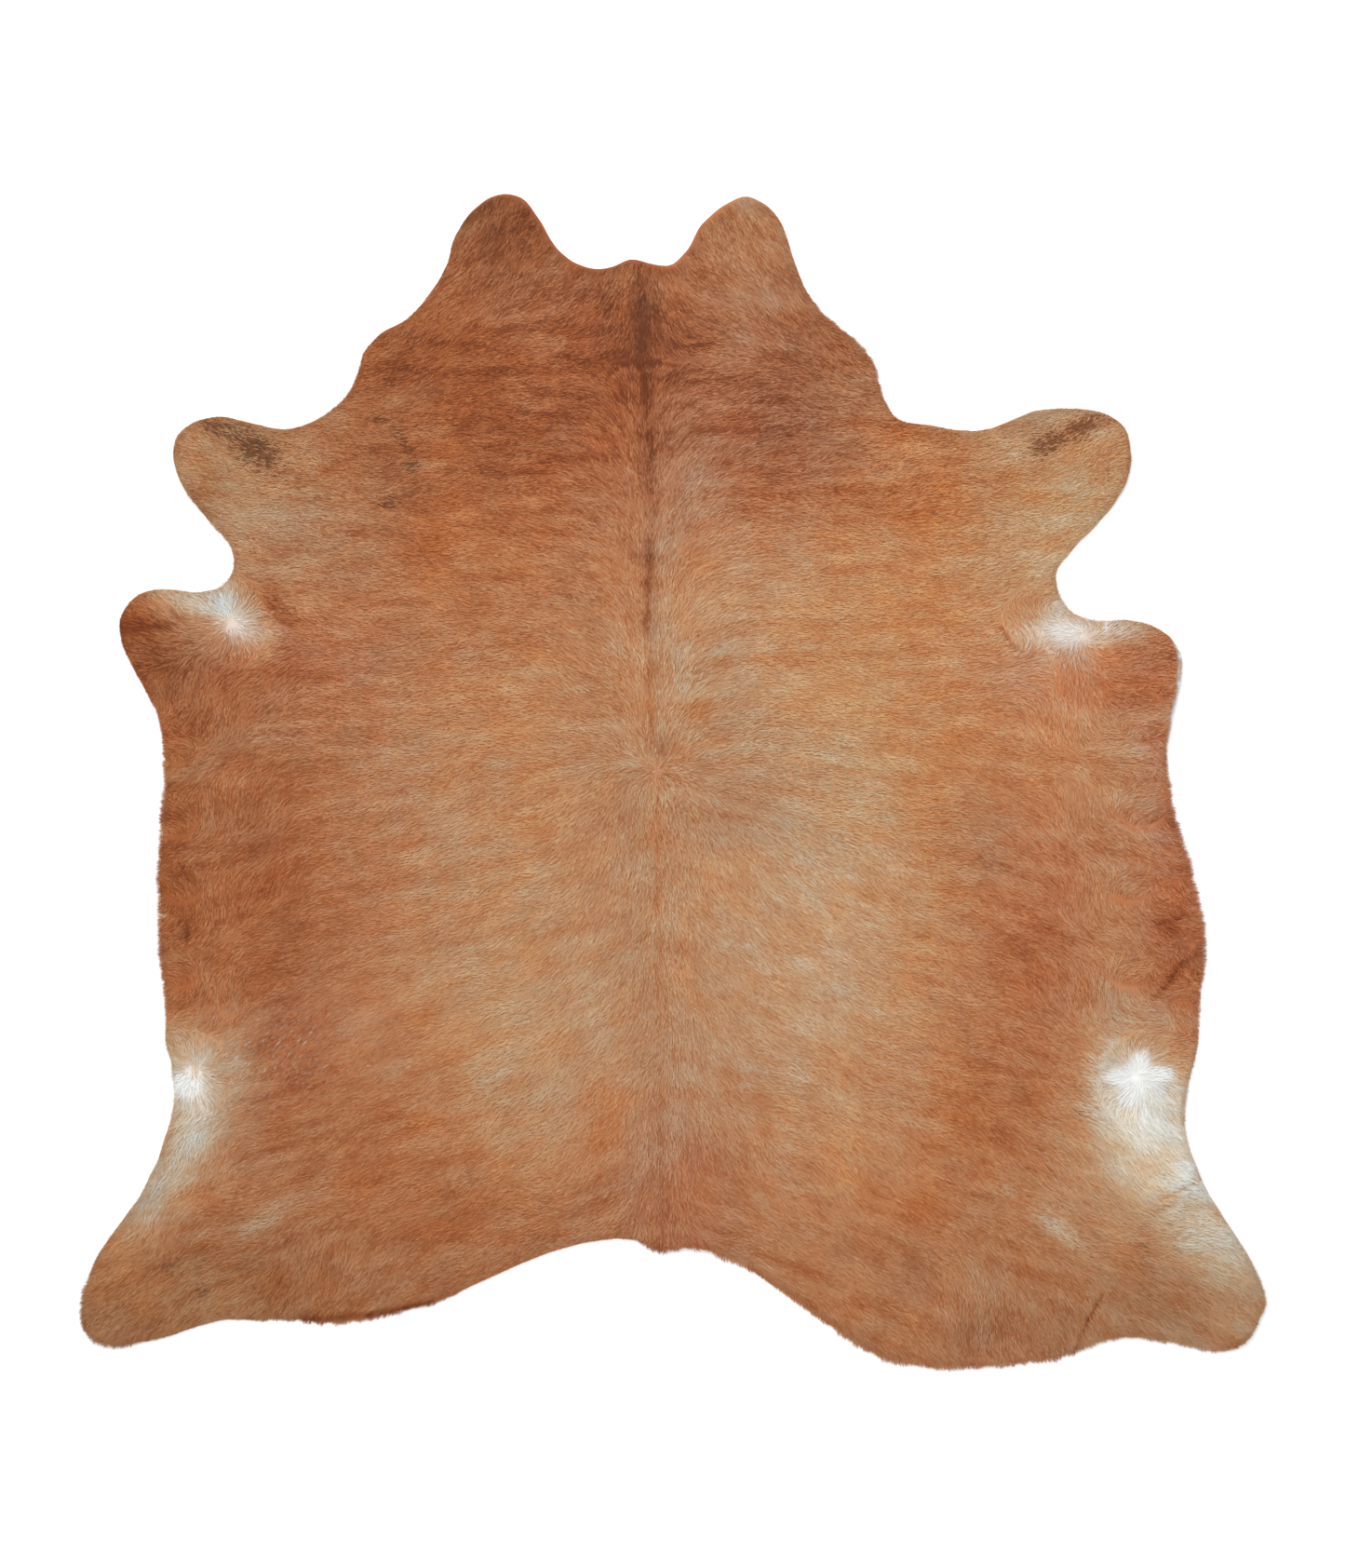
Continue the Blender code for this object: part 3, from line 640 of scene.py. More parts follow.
HEM_LIVELINESS = 0.62       # how strongly single hairs show at the tail, against the neck
LIVELY_LEVELS = (-0.9, 0.5)         # between these levels they come to their full strength
LIVELINESS = (
    Liveliness("line of the back", -0.020, 0.050, 0.090, 0.600, 0.22),
    Liveliness("left shoulder", -0.420, 0.230, 0.260, 0.340, -0.30),
    Liveliness("right shoulder", 0.350, 0.230, 0.260, 0.320, -0.28),
    Liveliness("top of the left shoulder", -0.500, 0.620, 0.180, 0.130, -0.20),
    Liveliness("left side", -0.600, -0.200, 0.260, 0.300, -0.14),
    Liveliness("left of the loin", -0.290, -0.500, 0.220, 0.200, -0.26),
    Liveliness("right of the back", 0.180, -0.280, 0.120, 0.160, 0.14),
    Liveliness("right hip", 0.580, -0.720, 0.180, 0.180, 0.12),
    Liveliness("right side", 0.700, -0.300, 0.160, 0.160, 0.14),
    Liveliness("left foreleg", -0.780, 0.480, 0.120, 0.120, -0.14),
)


class Fringe(NamedTuple):
    """Where loose hair stands out past the edge: its reach, how far the skin lies back, and its tufts."""

    name: str
    x: float
    y: float
    reach: float
    overhang: float
    set_back: float
    ragged: float


EDGE_OVERHANG = 0.001       # how far the hair usually reaches past the trimmed edge
FRINGES = (
    Fringe("right of the neck", 0.320, 0.770, 0.120, 0.0060, 0.0035, 0.20),
    Fringe("left of the neck", -0.565, 0.700, 0.070, 0.0035, 0.0010, 0.00),
    Fringe("left hind leg", -1.020, -0.980, 0.120, 0.0085, 0.0030, 0.15),
    Fringe("right hind leg", 1.010, -0.990, 0.140, 0.0060, 0.0035, 0.15),
    Fringe("right rump hem", 0.450, -1.035, 0.300, 0.0085, 0.0060, 0.30),
    Fringe("right leg hem", 0.800, -1.000, 0.160, 0.0045, 0.0060, 0.20),
    Fringe("tail", 0.040, -0.860, 0.110, 0.0100, 0.0055, 0.75),
    Fringe("left rump hem", -0.560, -0.955, 0.180, 0.0090, 0.0030, 0.30),
    Fringe("right belly", 0.930, -0.180, 0.270, 0.0112, 0.0085, 0.05),
    Fringe("left belly", -0.905, -0.170, 0.290, 0.0100, 0.0070, 0.05),
    Fringe("bare edge of the right elbow", 0.900, 0.190, 0.080, -0.0040, 0.0000, 0.00),
    Fringe("left elbow", -0.960, 0.230, 0.080, 0.0020, 0.0015, 0.05),
    Fringe("left foreleg", -0.830, 0.450, 0.100, 0.0030, 0.0020, 0.30),
)


class Wrinkle(NamedTuple):
    """A small soft ridge of the skin that the frame's own folds leave out."""

    name: str
    start: tuple[float, float]
    end: tuple[float, float]
    width: float
    height: float


WRINKLES = (
    Wrinkle("right belly, between the creases", (0.870, -0.285), (0.925, -0.262), 0.009, 0.0020),
    Wrinkle("right belly, below the creases", (0.868, -0.420), (0.915, -0.385), 0.010, 0.0022),
    Wrinkle("right belly, above the creases", (0.865, -0.190), (0.905, -0.175), 0.009, 0.0015),
    Wrinkle("right hind leg, beside the crease", (0.785, -0.930), (0.760, -0.995), 0.010, 0.0018),
    Wrinkle("left rump, beside the hem", (-0.640, -0.900), (-0.500, -0.880), 0.014, 0.0015),
)


def display(steps: Steps) -> tuple[float, float, float, float]:
    """Turns a colour in display steps into the linear colour that a shader takes.

    Args:
        steps: Red, green and blue from 0 to 255.

    Returns:
        The linear colour with full alpha.
    """
    shares = [step / FULL for step in steps]
    red, green, blue = (s / 12.92 if s <= 0.04045 else ((s + 0.055) / 1.055) ** 2.4 for s in shares)
    return red, green, blue, 1.0


def choose_only(piece: bpy.types.Object) -> None:
    """Makes one object the only selected and the active one.

    Args:
        piece: The object.
    """
    bpy.ops.object.select_all(action="DESELECT")
    piece.select_set(True)
    bpy.context.view_layer.objects.active = piece


def corner_places(mesh: bpy.types.Mesh) -> Array:
    """Reads where a mesh's vertices lie.

    Args:
        mesh: The mesh.

    Returns:
        One row for each vertex.
    """
    places = np.empty(len(mesh.vertices) * 3, np.float32)
    mesh.vertices.foreach_get("co", places)
    return places.reshape(-1, 3).astype(float)


def nearest_on(points: Array, start: tuple[float, float], end: tuple[float, float]) -> Array:
    """How far each point lies from a straight line between two ends.

    Args:
        points: Places on the floor, one row each.
        start: One end.
        end: The other end.

    Returns:
        One distance for each point.
    """
    first = np.array(start)
    run = np.array(end) - first
    share = np.clip((points - first) @ run / (run @ run), 0.0, 1.0)
    return np.linalg.norm(points - first - share[:, None] * run, axis=1)


def turned(points: Array, x: float, y: float, turn: float) -> tuple[Array, Array]:
    """Each point's distance from a centre, along and across a direction.

    Args:
        points: Places on the floor, one row each.
        x: The centre's place.
        y: The centre's place.
        turn: The direction, in degrees from +X towards +Y.

    Returns:
        The distances along and across.
    """
    angle = math.radians(turn)
    east, north = points[:, 0] - x, points[:, 1] - y
    along = east * math.cos(angle) + north * math.sin(angle)
    across = north * math.cos(angle) - east * math.sin(angle)
    return along, across


def oval(points: Array, row: NamedTuple) -> Array:
    """How far each point lies from the centre of a table row's oval.

    Args:
        points: Places on the floor, one row each.
        row: A row with x, y, along and across, and with a turn where it has one.

    Returns:
        The square of the distance as a share of the oval's radius: 1 on the oval itself.
    """
    along, across = turned(points, row.x, row.y, getattr(row, "turn", 0.0))
    return (along / row.along) ** 2 + (across / row.across) ** 2


def gap_to(points: Array, row: NamedTuple) -> Array:
    """How far each point lies from a table row's place."""
    return np.linalg.norm(points - (row.x, row.y), axis=1)


def fading(points: Array, row: NamedTuple, power: int = 2) -> Array:
    """How strongly a table row holds at each point: 1 at its place, and little past its reach."""
    return np.exp(-((gap_to(points, row) / row.reach) ** power))


def at_levels(table: tuple[NamedTuple, ...], name: str, levels: Array) -> Array:
    """One column of a table, read between the levels of its rows."""
    return np.interp(levels, [row.y for row in table], [getattr(row, name) for row in table])


def off_spine(points: Array) -> Array:
    """How far each point lies to the right of the line of the back."""
    return points[:, 0] - at_levels(SPINE, "x", points[:, 1])


def add_object(name: str, data: bpy.types.ID) -> bpy.types.Object:
    """Puts a new object into the scene.

    Args:
        name: The object's name.
        data: Its mesh, lamp or camera.

    Returns:
        The object.
    """
    added = bpy.data.objects.new(name, data)
    bpy.context.scene.collection.objects.link(added)
    return added


def move_corners(mesh: bpy.types.Mesh, places: Array) -> None:
    """Moves a mesh's vertices to new places, one row each."""
    mesh.vertices.foreach_set("co", places.ravel())
    mesh.update()


@dataclass
class CoatGrid:
    """A fine flat grid over the hide, on which the coat's fields are worked out."""

    low: tuple[float, float]
    high: tuple[float, float]
    step: float = 0.003
    last_cell: float = 1.001    # keeps every reading inside the last row and column

    def __post_init__(self) -> None:
        """Counts the grid's rows and columns."""
        self.columns = math.ceil((self.high[0] - self.low[0]) / self.step) + 1
        self.rows = math.ceil((self.high[1] - self.low[1]) / self.step) + 1

    def points(self) -> Array:
        """Lists the grid's places.

        Returns:
            One place in each row, from the tail to the neck.
        """
        xs = self.low[0] + self.step * np.arange(self.columns)
        ys = self.low[1] + self.step * np.arange(self.rows)
        across, along = np.meshgrid(xs, ys)
        return np.stack([across.ravel(), along.ravel()], axis=1)

    def read(self, values: Array, points: Array) -> Array:
        """Reads a field between the grid's places.

        Args:
            values: A number or a row of numbers for each place of the grid.
            points: Where to read it.

        Returns:
            What the field holds there.
        """
        column = np.clip((points[:, 0] - self.low[0]) / self.step, 0, self.columns - self.last_cell)
        row = np.clip((points[:, 1] - self.low[1]) / self.step, 0, self.rows - self.last_cell)
        left, below = column.astype(int), row.astype(int)
        right_share, above_share = column - left, row - below
        if values.ndim > 1:
            right_share, above_share = right_share[:, None], above_share[:, None]
        first = below * self.columns + left
        low = values[first] * (1 - right_share) + values[first + 1] * right_share
        next_row = first + self.columns
        high = values[next_row] * (1 - right_share) + values[next_row + 1] * right_share
        return low * (1 - above_share) + high * above_share

    def blurred(self, values: Array, radius: float) -> Array:
        """Smooths a field.

        Args:
            values: One number for each place of the grid.
            radius: The standard deviation of the blur, in metres.

        Returns:
            The smoothed field.
        """
        rows = np.fft.fftfreq(self.rows, self.step)[:, None]
        columns = np.fft.rfftfreq(self.columns, self.step)[None, :]
        pass_band = np.exp(-2 * (math.pi * radius) ** 2 * (rows**2 + columns**2))
        spectrum = np.fft.rfft2(values.reshape(self.rows, self.columns)) * pass_band
        return np.fft.irfft2(spectrum, s=(self.rows, self.columns)).ravel()

    def noise(self, draw: np.random.Generator, radius: float) -> Array:
        """Smooth random bumps of a given size, with a mean of 0 and a deviation of 1."""
        bumps = self.blurred(draw.standard_normal(self.rows * self.columns), radius)
        return (bumps - bumps.mean()) / bumps.std()


@dataclass
class Combing:
    """The way the hair lies: a fan from the spine, local strokes of the comb, and whorls."""

    near: float = 0.033
    middle: float = 0.100
    far: float = 0.250
    comb_hold: float = 2.0      # how fully a stroke of the comb takes the fan's place
    wander: float = 7.0         # degrees
    wander_size: float = 0.030

    def fan(self, points: Array) -> Array:
        """Combs the hair outwards from the spine.

        Args:
            points: Places on the floor, one row each.

        Returns:
            The unit heading of the fan at each point.
        """
        away = off_spine(points)
        near, middle, far = (at_levels(FAN, name, points[:, 1]) for name in ("near", "middle", "far"))
        distance = np.abs(away)
        at_spine = np.copysign(90.0, near)
        to_near = np.clip(distance / self.near, 0, 1)
        to_middle = np.clip((distance - self.near) / (self.middle - self.near), 0, 1)
        to_far = np.clip((distance - self.middle) / (self.far - self.middle), 0, 1)
        angle = np.radians(at_spine + (near - at_spine) * to_near + (middle - near) * to_middle
                           + (far - middle) * to_far)
        return np.stack([np.copysign(np.cos(angle), away), np.sin(angle)], axis=1)

    @staticmethod
    def stripes(points: Array) -> Array:
        """Runs the brindle's stripes from the back down the sides.

        Args:
            points: Places on the floor, one row each.

        Returns:
            The unit heading of the stripes at each point.
        """
        angle = np.radians(STRIPE_LEAN * at_levels(FAN, "far", points[:, 1]))
        return np.stack([np.copysign(np.cos(angle), off_spine(points)), np.sin(angle)], axis=1)

    @staticmethod
    def grown_out(points: Array, flow: Array) -> Array:
        """Turns the hair of the belly strips round where it points away from the edge.

        Args:
            points: Places on the floor, one row each.
            flow: The hair's heading there.

        Returns:
            The heading with those strips turned.
        """
        x, y = points.T
        for strip in BELLY_STRIPS:
            side = math.copysign(1.0, strip.band_x)
            inside = (side * (x - strip.band_x) > 0) & (y > strip.low_y) & (y < strip.high_y)
            flow = np.where((inside & (side * flow[:, 0] < 0))[:, None], -flow, flow)
        return flow

    def headings(self, grid: CoatGrid, draw: np.random.Generator) -> Array:
        """The unit heading at each place of the grid.

        Args:
            grid: The grid over the hide.
            draw: The source of the hair's small wandering.

        Returns:
            One direction for each place of the grid.
        """
        points = grid.points()
        flow = self.fan(points)
        held = np.zeros(len(points))
        combed = np.zeros_like(flow)
        for row in COMB:
            weight = fading(points, row)
            held += weight
            angle = math.radians(row.heading)
            combed += weight[:, None] * (math.cos(angle), math.sin(angle))
        flow = self.grown_out(points, flow * np.exp(-self.comb_hold * held)[:, None] + combed)
        for whorl in WHORLS:
            out = points - (whorl.x, whorl.y)
            gap = np.linalg.norm(out, axis=1) + 1e-9
            weight = np.exp(-((gap / whorl.reach) ** 4))[:, None]
            out = rotated(out / gap[:, None], np.full(len(out), math.radians(whorl.swirl)))
            flow = unit(flow) * (1 - weight) + weight * out
        turn = np.radians(self.wander) * grid.noise(draw, self.wander_size)
        return rotated(unit(flow), turn)


def unit(directions: Array) -> Array:
    """The directions at a length of 1."""
    return directions / (np.linalg.norm(directions, axis=1, keepdims=True) + 1e-12)


def rotated(directions: Array, angles: Array) -> Array:
    """Turns directions on the floor.

    Args:
        directions: One direction in each row.
        angles: An angle for each, in radians.

    Returns:
        The turned directions.
    """
    x, y = directions[:, 0], directions[:, 1]
    cos, sin = np.cos(angles), np.sin(angles)
    return np.stack([x * cos - y * sin, x * sin + y * cos], axis=1)


@dataclass
class Colouring:
    """The coat's pattern: how light, how warm and how white the hair is at each place."""

    brindle_size: float = 0.003
    brindle_run: float = 0.015
    stripe_size: float = 0.005
    stripe_run: float = 0.045
    stripe_depth: float = 3.7       # display steps
    dark_share: float = 0.16        # of dark hair, before it clusters
    dark_in_brindle: float = 0.08
    dark_in_stripes: float = 0.08
    cloud_size: float = 0.010
    cloud_depth: float = 3.8        # display steps
    cloud_warmth: float = 0.22      # hundredths of warmth that a darker step brings
    lock_run: float = 0.012
    lock_depth: float = 3.5         # display steps
    short_step: float = 0.003       # of the walk along the hair that draws a streak out
    long_step: float = 0.005
    pale_start: float = 25.0        # display steps over the ground where dark hair runs out
    pale_fall: float = 30.0         # display steps over which it does
    depth_limits: tuple[float, float] = (0.35, 1.8)
    most_dark: float = 0.8
    dark_spread: float = 0.020      # how far a patch of dark hair darkens what lies around it
    drifts: tuple[tuple[float, float], ...] = ((0.005, 2.0), (0.012, 2.2), (0.035, 2.1))  # size, depth

    def streaks(self, grid: CoatGrid, flow: Array, field_values: Array, run: float, step: float) -> Array:
        """Draws a field out along the hair.

        Args:
            grid: The grid over the hide.
            flow: The hair's heading on the grid.
            field_values: The field to draw out.
            run: How far it is drawn out, each way.
            step: The length of one step.

        Returns:
            The drawn-out field, with a mean of 0 and a deviation of 1.
        """
        total = field_values.copy()
        for way in (1.0, -1.0):
            place = grid.points()
            for _ in range(round(run / step)):
                place = place + way * step * unit(grid.read(flow, place))
                total += grid.read(field_values, place)
        return (total - total.mean()) / total.std()

    @staticmethod
    def patches(points: Array) -> tuple[Array, Array]:
        """Adds the soft patches up.

        Args:
            points: Places on the floor, one row each.

        Returns:
            The lightness and the warmth at each point.
        """
        tone = np.full(len(points), GROUND)
        warmth = np.zeros(len(points))
        for patch in PATCHES:
            weight = np.exp(-oval(points, patch))
            tone += patch.light * weight
            warmth += patch.warmth * weight
        return tone, warmth

    @staticmethod
    def tints(points: Array) -> Array:
        """Adds the tints up.

        Args:
            points: Places on the floor, one row each.

        Returns:
            How rosy each point is.
        """
        rose = np.full(len(points), GOLDEN)
        for tint in TINTS:
            rose += tint.rose * np.exp(-oval(points, tint))
        return rose

    @staticmethod
    def smudged(points: Array) -> tuple[Array, Array]:
        """Finds the smudges of almost black hair.

        Args:
            points: Places on the floor, one row each.

        Returns:
            The share of such hair at each point, and how much darker it is there.
        """
        share = np.zeros(len(points))
        drop = np.zeros(len(points))
        for smudge in SMUDGES:
            weight = np.exp(-(oval(points, smudge) ** 1.5))
            drop = np.where(smudge.share * weight > share, smudge.drop, drop)
            share = np.maximum(share, smudge.share * weight)
        return share, drop

    @staticmethod
    def liveliness(points: Array) -> Array:
        """Adds up where the coat is livelier or calmer.

        Args:
            points: Places on the floor, one row each.

        Returns:
            How strongly single hairs show at each point.
        """
        share = np.interp(points[:, 1], LIVELY_LEVELS, (HEM_LIVELINESS, 1.0))
        for row in LIVELINESS:
            share += row.more * np.exp(-oval(points, row))
        return share

    @staticmethod
    def growth(points: Array, name: str) -> Array:
        """Adds up where the hair is longer or shorter, or more or less of it dark.

        Args:
            points: Places on the floor, one row each.
            name: The column of the growths: length or dark.

        Returns:
            That share at each point, against the usual coat.
        """
        share = np.ones(len(points))
        for growth in GROWTHS:
            share += (getattr(growth, name) - 1) * fading(points, growth)
        return np.maximum(share, 0.0)

    @staticmethod
    def lines(points: Array) -> tuple[Array, Array]:
        """Draws the thin lines, most of them painted shadows of creases and wrinkles with a few painted
        highlights beside them, and the stripe of the back.

        Args:
            points: Places on the floor, one row each.

        Returns:
            The lightness and the warmth that they add at each point.
        """
        light = np.zeros(len(points))
        warmth = np.zeros(len(points))
        for stroke in STROKES:
            weight = np.exp(-((nearest_on(points, stroke.start, stroke.end) / stroke.width) ** 2))
            light += stroke.light * weight
            warmth += stroke.warmth * weight
        width, deep, warm = (at_levels(STRIPE, name, points[:, 1]) for name in ("width", "light", "warmth"))
        weight = np.exp(-((off_spine(points) / width) ** 2))
        return light + deep * weight, warmth + warm * weight

    @staticmethod
    def whites(points: Array) -> Array:
        """Lays out the white marks.

        Args:
            points: Places on the floor, one row each.

        Returns:
            The share of white hair at each point.
        """
        share = np.zeros(len(points))
        for patch in WHITES:
            gap = np.sqrt(oval(points, patch))
            rise = np.clip((1 + patch.softness - gap) / (2 * patch.softness), 0, 1)
            share = np.maximum(share, patch.amount * rise**2 * (3 - 2 * rise))
        return share

    def work_out(self, grid: CoatGrid, flow: Array, draw: np.random.Generator) -> Array:
        """The coat on the grid: tone, warmth, white share, rose, lock streaks and dark share.

        Args:
            grid: The grid over the hide.
            flow: The hair's heading on the grid.
            draw: The source of the coat's small variation.

        Returns:
            Six numbers for each place of the grid.
        """
        points = grid.points()
        tone, warmth = self.patches(points)
        brindle = self.streaks(grid, flow, grid.noise(draw, self.brindle_size), self.brindle_run,
                               self.short_step)
        stripes = self.streaks(grid, Combing.stripes(points), grid.noise(draw, self.stripe_size),
                               self.stripe_run, self.long_step)
        clouds = grid.noise(draw, self.cloud_size)
        locks = self.streaks(grid, flow, draw.standard_normal(len(points)), self.lock_run, self.short_step)
        depth = np.clip((GROUND + self.pale_start - tone) / self.pale_fall, *self.depth_limits)
        depth = depth * self.growth(points, "dark")
        share = self.dark_share - self.dark_in_brindle * brindle - self.dark_in_stripes * stripes
        dark = np.clip(depth * share, 0.0, self.most_dark)
        shift = self.cloud_depth * clouds + self.stripe_depth * stripes
        tone += DARK_DROP * grid.blurred(dark, self.dark_spread) + shift
        warmth -= self.cloud_warmth * shift
        for size, spread in self.drifts:
            warmth += spread * grid.noise(draw, size)
        return np.stack([tone, warmth, self.whites(points), self.tints(points),
                         locks * self.lock_depth, dark], axis=1)


class Shade:
    """A number or colour that varies over a surface: one output socket and the arithmetic on it."""

    def __init__(self, desk: "ShaderDesk", socket: bpy.types.NodeSocket) -> None:
        """Keeps the node tree and the socket."""
        self.desk = desk
        self.socket = socket

    def _math(self, operation: str, first: "Shade | float", second: "Shade | float") -> "Shade":
        """Adds one Math node."""
        return self.desk.add("ShaderNodeMath", {"operation": operation}, {0: first, 1: second})

    def __add__(self, other: "Shade | float") -> "Shade":
        """self + other."""
        return self._math("ADD", self, other)

    def __radd__(self, other: float) -> "Shade":
        """other + self."""
        return self._math("ADD", other, self)

    def __sub__(self, other: "Shade | float") -> "Shade":
        """self - other."""
        return self._math("SUBTRACT", self, other)

    def __rsub__(self, other: float) -> "Shade":
        """other - self."""
        return self._math("SUBTRACT", other, self)

    def __mul__(self, other: "Shade | float") -> "Shade":
        """self * other."""
        return self._math("MULTIPLY", self, other)

    def __rmul__(self, other: float) -> "Shade":
        """other * self."""
        return self._math("MULTIPLY", other, self)


class ShaderDesk:
    """One material's node tree, with short ways to add nodes to it."""

    MIX_FACTOR, MIX_FIRST, MIX_SECOND, MIX_RESULT = 0, 6, 7, 2     # a colour Mix node's sockets

    def __init__(self, name: str) -> None:
        """Makes a material with one Principled surface.

        Args:
            name: The material's name.
        """
        self.material = bpy.data.materials.new(name)
        self.material.use_nodes = True
        self.tree = self.material.node_tree
        self.surface = self.tree.nodes["Principled BSDF"]

    def add(self, kind: str, settings: dict | None = None, inputs: dict | None = None,
            output: int | str = 0) -> Shade:
        """Adds a node.

        Args:
            kind: The node's type.
            settings: Its settings, or the stops of a colour ramp.
            inputs: Values or links for its input sockets.
            output: The output socket that is wanted.

        Returns:
            That output.
        """
        node = self.tree.nodes.new(kind)
        for name, value in (settings or {}).items():
            if name == "stops":
                self.place_stops(node.color_ramp, value)
            else:
                setattr(node, name, value)
        for key, value in (inputs or {}).items():
            self.feed(node.inputs[key], value)
        return Shade(self, node.outputs[output])

    def feed(self, socket: bpy.types.NodeSocket, value: object) -> None:
        """Links a shade to a socket, or sets the socket's value.

        Args:
            socket: The input socket.
            value: A shade or a plain value.
        """
        if isinstance(value, Shade):
            self.tree.links.new(value.socket, socket)
        else:
            socket.default_value = value

    @staticmethod
    def place_stops(ramp: bpy.types.ColorRamp, stops: list[tuple[float, tuple]]) -> None:
        """Gives a colour ramp its stops.

        Args:
            ramp: The ramp.
            stops: A place from 0 to 1 and a linear colour for each stop.
        """
        while len(ramp.elements) > 1:
            ramp.elements.remove(ramp.elements[-1])
        for index, (place, colour) in enumerate(stops):
            stop = ramp.elements[0] if index == 0 else ramp.elements.new(place)
            stop.position = place
            stop.color = colour

    def finish(self, values: dict[str, object]) -> bpy.types.Material:
        """Feeds the surface's sockets.

        Args:
            values: A shade or a plain value for each named socket.

        Returns:
            The material.
        """
        for name, value in values.items():
            self.feed(self.surface.inputs[name], value)
        return self.material

    def place(self) -> Shade:
        """Where a point of the piece lies."""
        return self.add("ShaderNodeTexCoord", output="Object")

    def noise(self, place: Shade, scale: float, detail: float = 2.0) -> Shade:
        """Smooth noise from 0 to 1."""
        inputs = {"Vector": place, "Scale": scale, "Detail": detail}
        return self.add("ShaderNodeTexNoise", None, inputs, "Fac")

    def split(self, attribute: str) -> tuple[Shade, Shade, Shade]:
        """Reads the three numbers that an attribute holds at each point.

        Args:
            attribute: The attribute's name.

        Returns:
            One shade for each number.
        """
        vector = self.add("ShaderNodeAttribute", {"attribute_name": attribute}, None, "Vector")
        parts = self.add("ShaderNodeSeparateXYZ", None, {0: vector})
        node = parts.socket.node
        return Shade(self, node.outputs[0]), Shade(self, node.outputs[1]), Shade(self, node.outputs[2])

    def mixed(self, share: Shade | float, first: object, second: object) -> Shade:
        """Mixes two colours.

        Args:
            share: How much of the second colour shows, from 0 to 1.
            first: The first colour.
            second: The second colour.

        Returns:
            A colour between the two.
        """
        settings = {"data_type": "RGBA", "clamp_factor": True}
        inputs = {self.MIX_FACTOR: share, self.MIX_FIRST: first, self.MIX_SECOND: second}
        return self.add("ShaderNodeMix", settings, inputs, self.MIX_RESULT)

    def bump(self, height: Shade, distance: float, strength: float) -> Shade:
        """A surface normal that follows a height."""
        inputs = {"Height": height, "Distance": distance, "Strength": strength}
        return self.add("ShaderNodeBump", None, inputs, "Normal")


class CoatColour(NamedTuple):
    """One colour of the coat and how bright it looks, in display steps."""

    name: str
    brightness: float
    colour: Steps


COAT_COLOURS = (
    CoatColour("peat", 70, (112, 59, 33)),
    CoatColour("chestnut", 88, (135, 75, 44)),
    CoatColour("rust", 101, (150, 86, 51)),
    CoatColour("copper", 120, (167, 106, 69)),
    CoatColour("caramel", 140, (181, 128, 91)),
    CoatColour("honey", 160, (190, 150, 115)),
    CoatColour("sand", 178, (198, 172, 146)),
    CoatColour("cream", 200, (211, 197, 180)),
    CoatColour("milk", 225, (229, 226, 220)),
)


class HairPart(Enum):
    """What a coat material is for."""

    STRAND = "hair"
    UNDERCOAT = "undercoat"


@dataclass(frozen=True)
class CoatFinish:
    """The coat's colour, read from the pigments and painted crease shading stored at each point, darkened by
    a painted shade where it is the undercoat.
    """

    part: HairPart
    painted_shade: float = 0.0          # display steps of painted shade, taken off the skin seen between the hairs
    strand_spread: float = 24.0     # display steps from the darkest to the lightest strand
    tip_lift: float = 8.0           # display steps from root to tip
    redden: float = 0.9             # how much warmth adds to red, and takes from blue
    blue_loss: float = 1.2
    white: Steps = (232, 233, 231)
    roughness: float = 0.62
    shine: float = 0.12
    grain_scale: float = 420.0
    grain_depth: float = 10.0       # display steps
    grain_roughness: float = 0.15

    def dress(self) -> bpy.types.Material:
        """Makes the material.

        Returns:
            The material.
        """
        desk = ShaderDesk(f"coat_{self.part.value}")
        tone, warmth, white = desk.split("pigment_and_painted_shading")
        luck, along, rose = desk.split("strand")
        span = LIGHTEST - DARKEST
        # painted shade: the undercoat is darker where the hair over it would shade it
        tone = tone - self.painted_shade / span
        if self.part is HairPart.STRAND:
            tone = tone + (luck - 0.5) * (self.strand_spread / span)
            tone = tone + (along - 0.5) * (self.tip_lift / span)
        grain = desk.noise(desk.place(), self.grain_scale)
        tone = tone + (grain - 0.5) * (self.grain_depth / span)
        stops = [((c.brightness - DARKEST) / span, display(c.colour)) for c in COAT_COLOURS]
        ramp = desk.add("ShaderNodeValToRGB", {"stops": stops}, {"Fac": tone}, "Color")
        tint = desk.add("ShaderNodeCombineXYZ", None,
                        {0: 1.0 + warmth * self.redden, 1: 1.0 - rose, 2: 1.0 - warmth * self.blue_loss})
        tinted = desk.add("ShaderNodeVectorMath", {"operation": "MULTIPLY"}, {0: ramp, 1: tint})
        colour = desk.mixed(white, tinted, display(self.white))
        rough = self.roughness + (grain - 0.5) * self.grain_roughness
        return desk.finish({"Base Color": colour, "Roughness": rough, "Specular IOR Level": self.shine})


